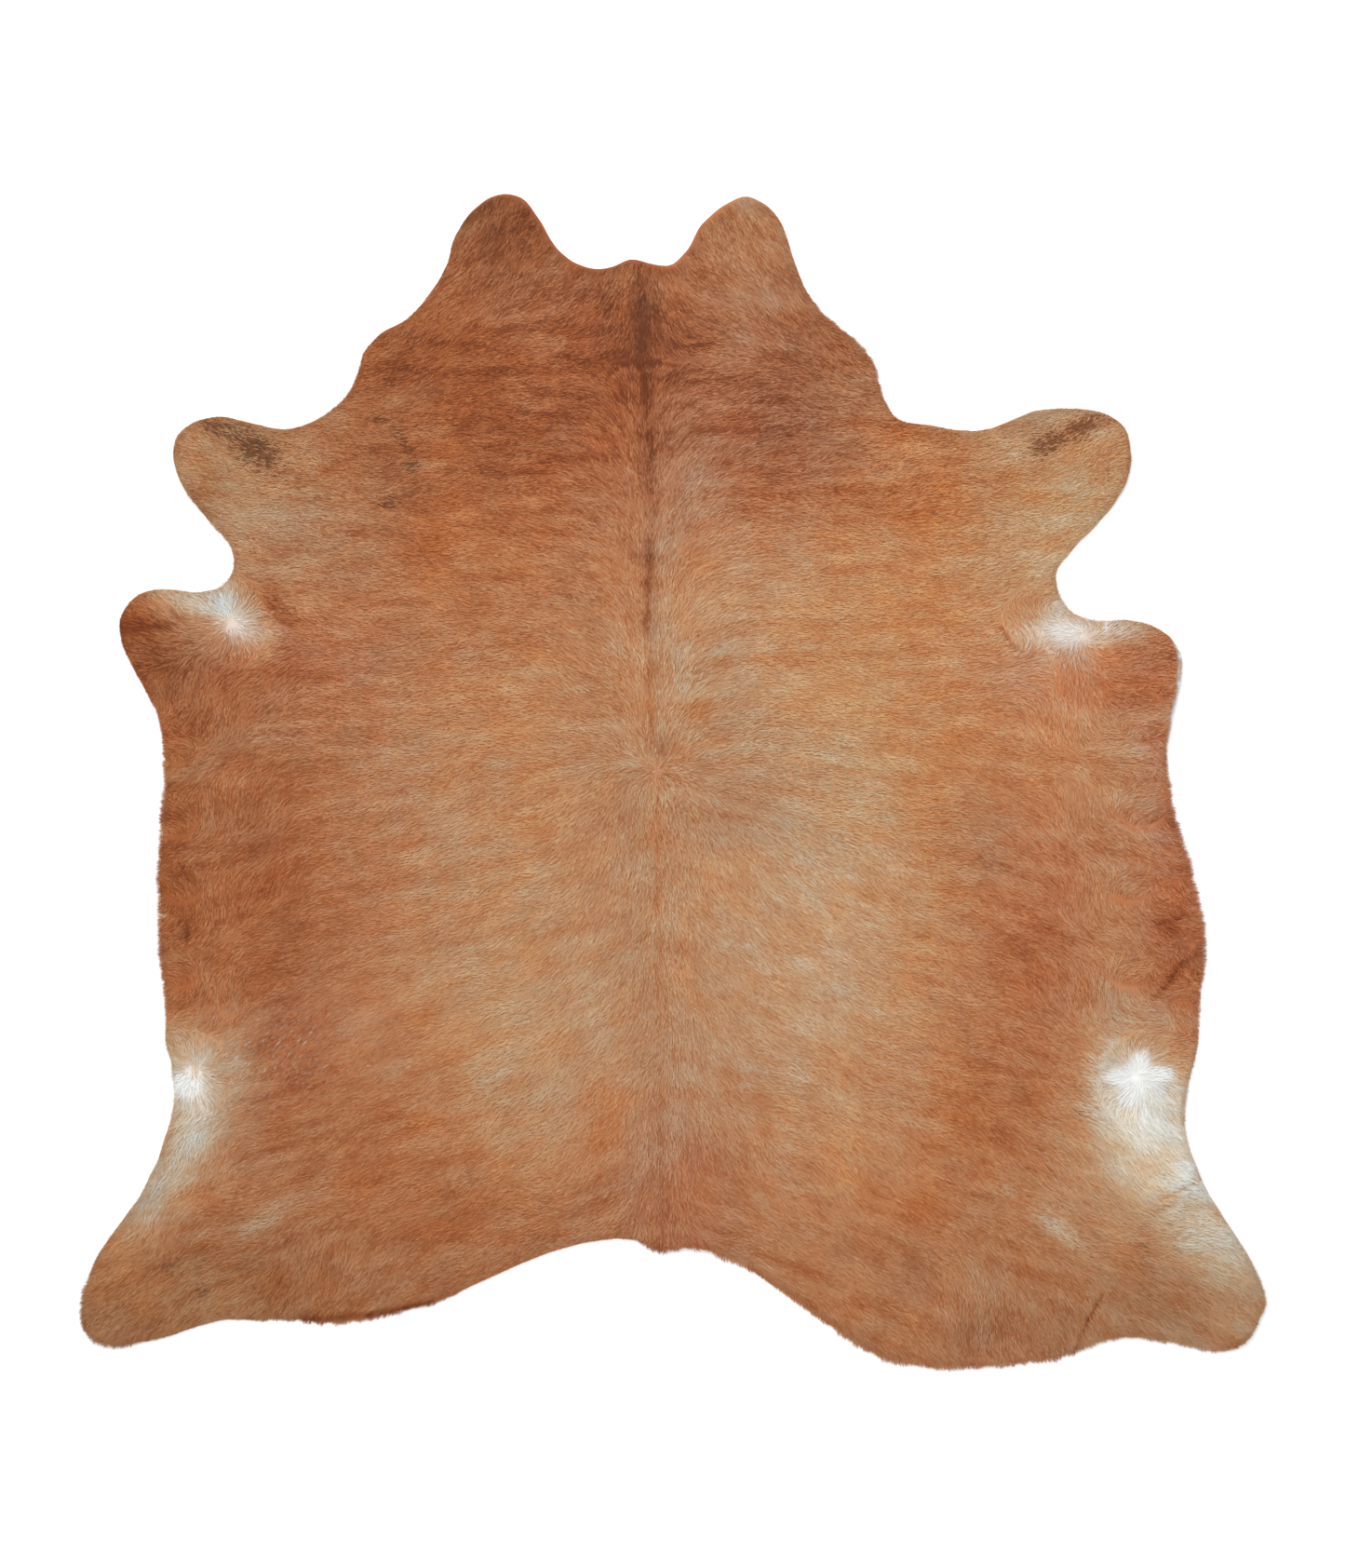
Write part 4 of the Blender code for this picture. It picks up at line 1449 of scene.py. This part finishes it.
@dataclass(frozen=True)
class SuedeFinish:
    """The flesh side and the cut edge: pale napped leather."""

    pale: Steps = (214, 198, 174)
    deep: Steps = (186, 164, 134)
    stain: Steps = (168, 138, 104)
    roughness: float = 0.9
    nap_roughness: float = 0.1
    shine: float = 0.15
    cloud_scale: float = 5.0
    nap_scale: float = 260.0
    fibre_scale: float = 900.0
    cloud_share: float = 0.7        # of the deep colour
    nap_share: float = 0.5
    paling: float = 0.1
    nap_part: float = 0.6           # of the bumps' height
    fibre_part: float = 0.4
    stain_scale: float = 11.0
    stain_limits: tuple[float, float] = (0.60, 0.74)    # of the noise, from no stain to a full one
    stain_depth: float = 0.35
    nap_height: float = 0.0006
    nap_strength: float = 0.6

    def dress(self) -> bpy.types.Material:
        """Makes the material.

        Returns:
            The material.
        """
        desk = ShaderDesk("flesh_side_suede")
        place = desk.place()
        clouds = desk.noise(place, self.cloud_scale, 4.0)
        nap = desk.noise(place, self.nap_scale, 3.0)
        fibre = desk.noise(place, self.fibre_scale, 2.0)
        share = clouds * self.cloud_share + nap * self.nap_share - self.paling
        base = desk.mixed(share, display(self.pale), display(self.deep))
        stops = list(zip(self.stain_limits, ((0, 0, 0, 1), (1, 1, 1, 1))))
        marks = desk.add("ShaderNodeValToRGB", {"stops": stops},
                         {"Fac": desk.noise(place, self.stain_scale, 5.0)}, "Color")
        colour = desk.mixed(marks * self.stain_depth, base, display(self.stain))
        height = nap * self.nap_part + fibre * self.fibre_part
        rough = self.roughness + (nap - 0.5) * self.nap_roughness
        normal = desk.bump(height, self.nap_height, self.nap_strength)
        return desk.finish({"Base Color": colour, "Roughness": rough, "Normal": normal,
                            "Specular IOR Level": self.shine})


@dataclass(frozen=True)
class FloorFinish:
    """The pale studio floor."""

    colour: Steps = (250, 250, 250)
    roughness: float = 0.9

    def dress(self) -> bpy.types.Material:
        """Makes the material.

        Returns:
            The material.
        """
        desk = ShaderDesk("studio_floor")
        return desk.finish({"Base Color": display(self.colour), "Roughness": self.roughness,
                            "Specular IOR Level": 0.0})


@dataclass
class Skin:
    """The tanned skin: a thin sheet on the frame's folds, with the hair side and the suede apart."""

    merge_gap: float = 0.00001
    join_angles: tuple[float, float] = (25.0, 35.0)     # degrees, between faces and between corners
    margin: float = 0.045           # of the coat's grid past the frame's solid
    undercoat_painted_shade: float = 14.0                   # display steps of painted shade on the hair side, where the hair over it would shade it
    wander: float = 0.0006          # how far the trimmed edge wavers
    wander_size: float = 0.012
    wander_reach: float = 0.008     # how far in from the edge it wavers
    probe: float = 0.006            # how far to each side the way to the edge is felt for
    set_back_reach: float = 0.030   # how far in from the edge the skin gives way
    piece: bpy.types.Object = field(init=False)
    grid: CoatGrid = field(init=False)

    def build(self, draw: np.random.Generator) -> bpy.types.Object:
        """Makes the sheet from a copy of the frame's solid.

        Args:
            draw: The source of the edge's small wavering.

        Returns:
            The skin, without a material.
        """
        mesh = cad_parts[HIDE_NODE].data.copy()
        mesh.name = "hide_skin"
        mesh.materials.clear()
        self.piece = add_object("hide_skin", mesh)
        choose_only(self.piece)
        bpy.ops.mesh.customdata_custom_splitnormals_clear()
        bpy.ops.object.mode_set(mode="EDIT")
        bpy.ops.mesh.select_all(action="SELECT")
        bpy.ops.mesh.remove_doubles(threshold=self.merge_gap)
        between_faces, between_corners = (math.radians(angle) for angle in self.join_angles)
        bpy.ops.mesh.tris_convert_to_quads(face_threshold=between_faces, shape_threshold=between_corners)
        bpy.ops.object.mode_set(mode="OBJECT")
        finer = self.piece.modifiers.new("finer", "SUBSURF")
        finer.subdivision_type = "SIMPLE"
        finer.levels = finer.render_levels = 2
        bpy.ops.object.modifier_apply(modifier=finer.name)
        low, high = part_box(HIDE_NODE)
        self.grid = CoatGrid((low.x - self.margin, low.y - self.margin),
                             (high.x + self.margin, high.y + self.margin))
        self._waver(draw)
        self.piece.data.shade_smooth()
        return self.piece

    def _waver(self, draw: np.random.Generator) -> None:
        """Raises the small wrinkles and lets the trimmed edge waver.

        Args:
            draw: The source of the wavering.
        """
        mesh = self.piece.data
        places = corner_places(mesh)
        flat = places[:, :2].copy()
        share = np.clip(1 - self.rim_gaps(flat) / self.wander_reach, 0, 1)
        for axis in (0, 1):
            shift = self.grid.noise(draw, self.wander_size) * self.wander
            places[:, axis] += share * self.grid.read(shift, flat)
        for wrinkle in WRINKLES:
            gap = nearest_on(flat, wrinkle.start, wrinkle.end)
            places[:, 2] += wrinkle.height * np.exp(-((gap / wrinkle.width) ** 2))
        move_corners(mesh, places)

    def dress(self, fields: Array) -> None:
        """Colours the hair side like the roots of the coat, darker by a painted shade of the hair over it,
        and makes the rest suede.

        Args:
            fields: The coat's fields on the skin's grid.
        """
        mesh = self.piece.data
        # the hair side's colour is the coat's, less a painted shade of the hair over it
        mesh.materials.append(CoatFinish(HairPart.UNDERCOAT, self.undercoat_painted_shade).dress())
        mesh.materials.append(SuedeFinish().dress())
        upward = np.empty(len(mesh.polygons) * 3)
        mesh.polygons.foreach_get("normal", upward)
        hair_side = upward.reshape(-1, 3)[:, 2] > HAIR_SIDE_TILT
        mesh.polygons.foreach_set("material_index", np.where(hair_side, 0, 1))
        flat = corner_places(mesh)[:, :2]
        tone, warmth, white, rose = self.grid.read(fields[:, :4], flat).T
        # the thin lines paint the creases' shadows and a few highlights into the colour, besides the stripe
        # of the back and the pale marks
        light, warm = Colouring.lines(flat)
        store(mesh, "pigment_and_painted_shading", pigment_and_shading_rows(tone + light, warmth + warm, white))
        store(mesh, "strand", strand_rows(0.5, 0.5, rose))

    def rim(self) -> Array:
        """Finds the edge of the hair side.

        Returns:
            The places of its corners, one row each.
        """
        mesh = self.piece.data
        faces = [polygon for polygon in mesh.polygons if polygon.normal.z > HAIR_SIDE_TILT]
        seen: dict[tuple[int, int], int] = {}
        for polygon in faces:
            for key in polygon.edge_keys:
                seen[key] = seen.get(key, 0) + 1
        corners = sorted({corner for key, count in seen.items() if count == 1 for corner in key})
        return corner_places(mesh)[corners]

    def heights(self) -> tuple[Array, Array]:
        """Feels for the skin from above at each place of the grid.

        Returns:
            The height of the hair side, and whether the place lies on the skin.
        """
        mesh = self.piece.data
        tree = BVHTree.FromPolygons([v.co for v in mesh.vertices], [p.vertices for p in mesh.polygons])
        above, down = 0.1, Vector((0, 0, -1))
        hits = [tree.ray_cast(Vector((x, y, above)), down)[0] for x, y in self.grid.points()]
        inside = np.array([hit is not None for hit in hits])
        height = np.array([hit.z if hit else 0.0 for hit in hits])
        return height, inside

    def rim_gaps(self, flat: Array) -> Array:
        """Measures the way to the nearest corner of the edge.

        Args:
            flat: Places on the floor, one row each.

        Returns:
            One distance for each place.
        """
        rim = self.rim()
        tree = KDTree(len(rim))
        for index, place in enumerate(rim):
            tree.insert((place[0], place[1], 0.0), index)
        tree.balance()
        return np.array([tree.find((x, y, 0.0))[2] for x, y in flat])

    def edge_distance(self, inside: Array) -> Array:
        """How far each place of the grid lies inside the edge, or outside it as a negative number."""
        gaps = self.rim_gaps(self.grid.points())
        return np.where(inside, gaps, -gaps)

    def set_back(self, distance: Array) -> Array:
        """Draws the skin's edge in where loose hair hides it.

        Args:
            distance: How far each place of the grid lies inside the edge.

        Returns:
            The same, from the new edge.
        """
        mesh = self.piece.data
        places = corner_places(mesh)
        flat = places[:, :2]
        share = np.clip(1 - self.grid.read(distance, flat) / self.set_back_reach, 0, 1)
        step = share * self.set_back_depth(flat)
        places[:, :2] = flat + self.inward(distance, flat) * step[:, None]
        move_corners(mesh, places)
        return distance - self.set_back_depth(self.grid.points())

    @staticmethod
    def set_back_depth(points: Array) -> Array:
        """Finds where the fringes hide the skin's edge.

        Args:
            points: Places on the floor, one row each.

        Returns:
            How far the skin lies back from its trimmed edge near each point.
        """
        depth = np.zeros(len(points))
        for fringe in FRINGES:
            depth = np.maximum(depth, fringe.set_back * fading(points, fringe, 4))
        return depth

    def inward(self, distance: Array, flat: Array) -> Array:
        """Feels a little to each side for the way from the nearest edge.

        Args:
            distance: How far each place of the grid lies inside the edge.
            flat: Places on the floor, one row each.

        Returns:
            One direction for each place.
        """
        east, north = np.array((self.probe, 0.0)), np.array((0.0, self.probe))
        ways = [self.grid.read(distance, flat + way) - self.grid.read(distance, flat - way)
                for way in (east, north)]
        return unit(np.stack(ways, axis=1))

    def declare(self) -> None:
        """Hangs the skin on the root body and hides the frame's own solid.
        """
        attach(self.piece, ROOT_BODY)
        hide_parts(HIDE_NODE)


def store(mesh: bpy.types.Mesh, name: str, values: Array) -> None:
    """Keeps three numbers at each vertex of a mesh.

    Args:
        mesh: The mesh.
        name: The attribute's name.
        values: One row of three numbers for each vertex, in display steps, hundredths and shares
            where they are pigments.
    """
    attribute = mesh.attributes.new(name, "FLOAT_VECTOR", "POINT")
    attribute.data.foreach_set("vector", values.astype(np.float32).ravel())


@dataclass
class Coat:
    """The hair: short flat blades, each a lock as wide as the eye makes out, in bands from neck to tail."""

    skin: Skin
    names: tuple[str, ...] = ("coat_rump", "coat_loin", "coat_back", "coat_shoulders", "coat_neck")
    spacing: float = 0.0028
    length: float = 0.016
    length_spread: float = 0.25     # share of the length
    length_limits: tuple[float, float] = (0.45, 1.6)    # shares of the length
    shortest_cut: float = 0.25      # share of its length that the edge leaves a strand at least
    half_width: float = 0.0008
    width_limits: tuple[float, float] = (0.75, 1.25)    # shares of the half width
    heading_spread: float = 9.0     # degrees
    tangle: float = 65.0            # degrees more in the middle of a whorl
    tangle_reach: float = 0.014
    curl: float = 10.0              # degrees from root to tip
    root_curl: float = 0.4          # share of the curl that the lower half of a strand turns back
    arch: float = 0.0022            # height of a blade's middle over the skin
    tip_height: float = 0.0012
    lift_limits: tuple[float, float] = (0.5, 1.4)       # shares of both heights
    root_depth: float = 0.0003      # how far a root is sunk into the skin
    roll: float = 0.0004            # how much higher one side of a blade may be
    colour_reach: float = 0.010     # how far along the hair a strand's colour may stray
    edge_gap: float = 0.0012        # roots keep this far from the trimmed edge
    fringe_depth: float = 0.015     # hair rooted this near to the edge is finer and denser
    fringe_spacing: float = 0.0020
    fringe_width: float = 0.55      # share of the half width
    fringe_pull: float = 3.0        # how strongly it turns outwards where the skin lies furthest back
    full_set_back: float = 0.0075
    tuft_size: float = 0.004
    tuft_depth: float = 0.12        # how much the fringe's reach varies from tuft to tuft
    tuft_limits: tuple[float, float] = (0.1, 2.0)       # shares of the fringe's reach
    reach_limits: tuple[float, float] = (0.2, 1.15)     # of single strands, as shares of it
    bleach_spread: float = 0.5      # how unevenly the strands turn white at the rim of a white patch
    dark_cooling: tuple[float, float] = (-1.0, 4.0)     # hundredths of warmth that a dark hair
    cooling_levels: tuple[float, float] = (0.2, 0.65)   # lacks, below and above these levels

    def plant(self, distance: Array, draw: np.random.Generator) -> Array:
        """The roots: an even scatter over the skin.

        Args:
            distance: How far each place of the grid lies inside the edge.
            draw: The source of the scatter.

        Returns:
            One row for each root, from the tail to the neck.
        """
        inside = self.scatter(self.spacing, draw)
        inside = inside[self.skin.grid.read(distance, inside) > self.edge_gap]
        fringe = self.scatter(self.fringe_spacing, draw)
        depth = self.skin.grid.read(distance, fringe)
        fringe = fringe[(depth > self.edge_gap) & (depth < self.fringe_depth)]
        roots = np.concatenate([inside, fringe])
        return roots[np.argsort(roots[:, 1])]

    def scatter(self, spacing: float, draw: np.random.Generator) -> Array:
        """Scatters places over the whole grid, each a little off its row and column.

        Args:
            spacing: The spacing of the rows and columns.
            draw: The source of the scatter.

        Returns:
            One row for each place.
        """
        grid = self.skin.grid
        xs = np.arange(grid.low[0], grid.high[0], spacing)
        ys = np.arange(grid.low[1], grid.high[1], spacing)
        across, along = np.meshgrid(xs, ys)
        places = np.stack([across.ravel(), along.ravel()], axis=1)
        return places + draw.uniform(-0.5, 0.5, places.shape) * spacing

    def lengths(self, roots: Array, draw: np.random.Generator) -> Array:
        """Each strand's length before it is kept within the edge."""
        spread = draw.normal(1.0, self.length_spread, len(roots))
        return self.length * Colouring.growth(roots, "length") * np.clip(spread, *self.length_limits)

    def overhang(self, roots: Array, draw: np.random.Generator) -> Array:
        """Lets the fringes out past the trimmed edge, in uneven tufts.

        Args:
            roots: The roots.
            draw: The source of the unevenness.

        Returns:
            How far each strand may reach past the edge.
        """
        grid = self.skin.grid
        allowed = np.full(len(roots), EDGE_OVERHANG)
        depth = np.full(len(roots), self.tuft_depth)
        for fringe in FRINGES:
            share = fading(roots, fringe, 4)
            allowed += share * (fringe.overhang - EDGE_OVERHANG)
            depth += share * fringe.ragged
        tufts = 1 + depth * grid.read(grid.noise(draw, self.tuft_size), roots)
        return allowed * np.clip(tufts, *self.tuft_limits) * draw.uniform(*self.reach_limits, len(roots))

    def comb_out(self, roots: Array, flow: Array, distance: Array, height: Array,
                 draw: np.random.Generator) -> Array:
        """Lays a blade from each root: root, left, right and tip.

        Args:
            roots: The roots.
            flow: The hair's heading on the grid.
            distance: How far each place of the grid lies inside the edge.
            height: The height of the hair side on the grid.
            draw: The source of the strands' small differences.

        Returns:
            Four corners for each strand.
        """
        grid = self.skin.grid
        count = len(roots)
        near = np.clip(1 - grid.read(distance, roots) / self.fringe_depth, 0, 1)
        pull = self.fringe_pull * near * self.skin.set_back_depth(roots) / self.full_set_back
        combed = unit(grid.read(flow, roots)) - pull[:, None] * self.skin.inward(distance, roots)
        spread = np.full(count, self.heading_spread)
        for whorl in WHORLS:
            spread += self.tangle * np.exp(-((gap_to(roots, whorl) / self.tangle_reach) ** 2))
        heading = rotated(unit(combed), np.radians(spread * draw.normal(0, 1, count)))
        turn = np.radians(draw.normal(0, self.curl, count))
        length = self.lengths(roots, draw)
        allowed = self.overhang(roots, draw)
        reach = roots + heading * length[:, None]
        past = -grid.read(distance, reach)
        kept = (grid.read(distance, roots) + allowed) / (grid.read(distance, roots) + np.maximum(past, 1e-6))
        length = np.where(past > allowed, length * np.clip(kept, self.shortest_cut, 1.0), length)
        middle = roots + rotated(heading, -self.root_curl * turn) * (0.5 * length)[:, None]
        tip = middle + rotated(heading, turn) * (0.5 * length)[:, None]
        side = np.stack([-heading[:, 1], heading[:, 0]], axis=1)
        fine = np.where(grid.read(distance, roots) < self.fringe_depth, self.fringe_width, 1.0)
        wide = side * (self.half_width * fine * draw.uniform(*self.width_limits, count))[:, None]
        blades = np.empty((count, 4, 3))
        lean = draw.uniform(-1, 1, count) * self.roll
        lift = draw.uniform(*self.lift_limits, count)
        blades[:, 0, :2], blades[:, 0, 2] = roots, grid.read(height, roots) - self.root_depth
        rise = grid.read(height, middle) + self.arch * lift
        blades[:, 1, :2], blades[:, 1, 2] = middle + wide, rise + lean
        blades[:, 2, :2], blades[:, 2, 2] = middle - wide, rise - lean
        blades[:, 3, :2], blades[:, 3, 2] = tip, grid.read(height, tip) + self.tip_height * lift
        return blades

    def blade_mesh(self, name: str, blades: Array, pigments: Array, whites: Array) -> bpy.types.Object:
        """Joins a band's blades into one piece.

        Args:
            name: The piece's name.
            blades: Four corners for each strand.
            pigments: Tone, warmth, rose, luck and bleach of each strand.
            whites: The share of white on the skin's grid.

        Returns:
            The band of hair.
        """
        count = len(blades)
        mesh = bpy.data.meshes.new(name)
        mesh.vertices.add(4 * count)
        mesh.vertices.foreach_set("co", blades.ravel())
        corners = (4 * np.arange(count)[:, None] + (0, 2, 1, 1, 2, 3)).ravel()
        mesh.loops.add(6 * count)
        mesh.loops.foreach_set("vertex_index", corners)
        mesh.polygons.add(2 * count)
        mesh.polygons.foreach_set("loop_start", 3 * np.arange(2 * count))
        mesh.update(calc_edges=True)
        mesh.shade_smooth()
        flat = blades[:, :, :2].reshape(-1, 2)
        tone, warmth, rose, luck, bleach = np.repeat(pigments, 4, axis=0).T
        share = self.skin.grid.read(whites, flat)
        white = np.clip((1 + self.bleach_spread) * share - self.bleach_spread * bleach, 0, 1)
        # the thin lines paint the creases' shadows and a few highlights into the colour, besides the stripe
        # of the back and the pale marks
        light, warm = Colouring.lines(flat)
        store(mesh, "pigment_and_painted_shading", pigment_and_shading_rows(tone + light, warmth + warm, white))
        store(mesh, "strand", strand_rows(luck, np.tile((0.0, 0.5, 0.5, 1.0), count), rose))
        low, high = flat.min(axis=0), flat.max(axis=0)
        sheet_map = mesh.uv_layers.new(name="OFBake")
        sheet_map.data.foreach_set("uv", ((flat - low) / (high - low))[corners].ravel())
        return add_object(name, mesh)

    def colour(self, places: Array, flow: Array, fields: Array, draw: np.random.Generator) -> Array:
        """Gives each strand the colour of the coat around its middle, with a little luck.

        Args:
            places: Where the strands' middles lie.
            flow: The hair's heading on the grid.
            fields: The coat's fields on the grid.
            draw: The source of the strands' small differences.

        Returns:
            Tone, warmth, rose, luck and bleach of each strand. Where bleach is low, the strand is
            among the first to turn white.
        """
        grid = self.skin.grid
        count = len(places)
        stray = draw.normal(0, self.colour_reach, count)
        seen = grid.read(fields[:, :4], places + grid.read(flow, places) * stray[:, None])
        locks, dark_share = grid.read(fields[:, 4:], places).T
        levels = places[:, 1]
        lively = Colouring.liveliness(places)
        dark = lively * (draw.uniform(0, 1, count) < dark_share)
        tone = seen[:, 0] + locks * lively - DARK_DROP * dark
        warmth = seen[:, 1] - dark * np.interp(levels, self.cooling_levels, self.dark_cooling)
        smudged, drop = Colouring.smudged(places)
        black = draw.uniform(0, 1, count) < smudged
        tone -= black * drop
        warmth -= black * SMUDGE_COOLING
        bleach = draw.uniform(0, 1, count)
        luck = 0.5 + lively * draw.uniform(-0.5, 0.5, count)
        return np.stack([tone, warmth, seen[:, 3], luck, bleach], axis=1)

    def build(self, flow: Array, fields: Array, height: Array, distance: Array,
              draw: np.random.Generator) -> list[bpy.types.Object]:
        """Plants, lays and colours the whole coat.

        Args:
            flow: The hair's heading on the grid.
            fields: The coat's fields on the grid.
            height: The height of the hair side on the grid.
            distance: How far each place of the grid lies inside the edge.
            draw: The source of every small difference.

        Returns:
            The bands of hair, from the tail to the neck.
        """
        roots = self.plant(distance, draw)
        blades = self.comb_out(roots, flow, distance, height, draw)
        pigments = self.colour(blades[:, 1:3, :2].mean(axis=1), flow, fields, draw)
        finish = CoatFinish(HairPart.STRAND).dress()
        pieces = []
        for name, band in zip(self.names, np.array_split(np.arange(len(roots)), len(self.names))):
            piece = self.blade_mesh(name, blades[band], pigments[band], fields[:, 2])
            piece.data.materials.append(finish)
            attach(piece, ROOT_BODY)
            LOG.info("%s: %d strands", name, len(band))
            pieces.append(piece)
        return pieces


def pigment_and_shading_rows(tone: Array, warmth: Array, white: Array) -> Array:
    """Packs the coat's fields the way its materials read them.

    Args:
        tone: Brightness in display steps.
        warmth: Warmth in hundredths.
        white: Share of white.

    Returns:
        Tone as a share of the ramp, warmth as a number and the share of white.
    """
    return np.stack([(tone - DARKEST) / (LIGHTEST - DARKEST), warmth / 100.0, white], axis=1)


def strand_rows(luck: Array | float, along: Array | float, rose: Array) -> Array:
    """Packs what the coat's materials read beside its pigment.

    Args:
        luck: How light the strand is against its surroundings, from 0 to 1.
        along: How far along the strand the point lies, from 0 to 1.
        rose: How rosy the coat is, in hundredths.

    Returns:
        One row of three numbers for each point.
    """
    full = np.ones(len(rose))
    return np.stack([full * luck, full * along, rose / 100.0], axis=1)


@dataclass
class Studio:
    """The floor, the lights and the camera straight above."""

    floor_size: float = 14.0
    floor_drop: float = 0.0002
    world_light: float = 1.00
    lamp_power: float = 190.0
    lamp_size: float = 4.0
    lamp_place: tuple[float, float, float] = (-1.6, 3.6, 5.0)
    lens: float = 85.0
    sensor: float = 36.0
    view_height: float = 2.780      # what the picture's height takes in at the hide
    aim: tuple[float, float] = (-0.0017, -0.0041)

    def build(self) -> None:
        """Sets the studio up."""
        self._floor()
        self._light()
        self._camera()

    def _floor(self) -> None:
        """Lays the floor just under the hide."""
        bpy.ops.object.select_all(action="DESELECT")
        bpy.ops.mesh.primitive_plane_add(size=self.floor_size, location=(0, 0, -self.floor_drop))
        floor = bpy.context.active_object
        floor.name = "studio_floor"
        floor.data.materials.append(FloorFinish().dress())

    def _light(self) -> None:
        """Fills the room with even light, and adds a wide lamp beyond the neck."""
        world = bpy.data.worlds.new("studio_light")
        world.use_nodes = True
        sky = world.node_tree.nodes["Background"]
        sky.inputs["Color"].default_value = (1.0, 1.0, 1.0, 1.0)
        sky.inputs["Strength"].default_value = self.world_light
        bpy.context.scene.world = world
        lamp = bpy.data.lights.new("wide_lamp", "AREA")
        lamp.energy = self.lamp_power
        lamp.size = self.lamp_size
        holder = add_object("wide_lamp", lamp)
        holder.location = self.lamp_place
        holder.rotation_euler = (-Vector(self.lamp_place)).to_track_quat("-Z", "Y").to_euler()

    def _camera(self) -> None:
        """Hangs the camera over the hide, looking straight down."""
        lens = bpy.data.cameras.new("camera")
        lens.lens = self.lens
        lens.sensor_fit = "VERTICAL"
        lens.sensor_height = self.sensor
        camera = add_object("camera", lens)
        camera.location = (*self.aim, self.view_height * self.lens / self.sensor)
        bpy.context.scene.camera = camera


def main() -> None:
    """Builds the skin, its coat and the studio in order."""
    logging.basicConfig(level=logging.INFO, format="%(message)s")
    bpy.context.scene.view_settings.view_transform = "Standard"
    draw = np.random.default_rng(SEED)
    skin = Skin()
    skin.build(draw)
    LOG.info("%s: %d faces", skin.piece.name, len(skin.piece.data.polygons))
    flow = Combing().headings(skin.grid, draw)
    fields = Colouring().work_out(skin.grid, flow, draw)
    skin.dress(fields)
    height, inside = skin.heights()
    distance = skin.set_back(skin.edge_distance(inside))
    strands = Coat(skin).build(flow, fields, height, distance, draw)
    skin.declare()
    Studio().build()
    LOG.info("studio: floor, lamp and camera")


if __name__ == "__main__":
    main()
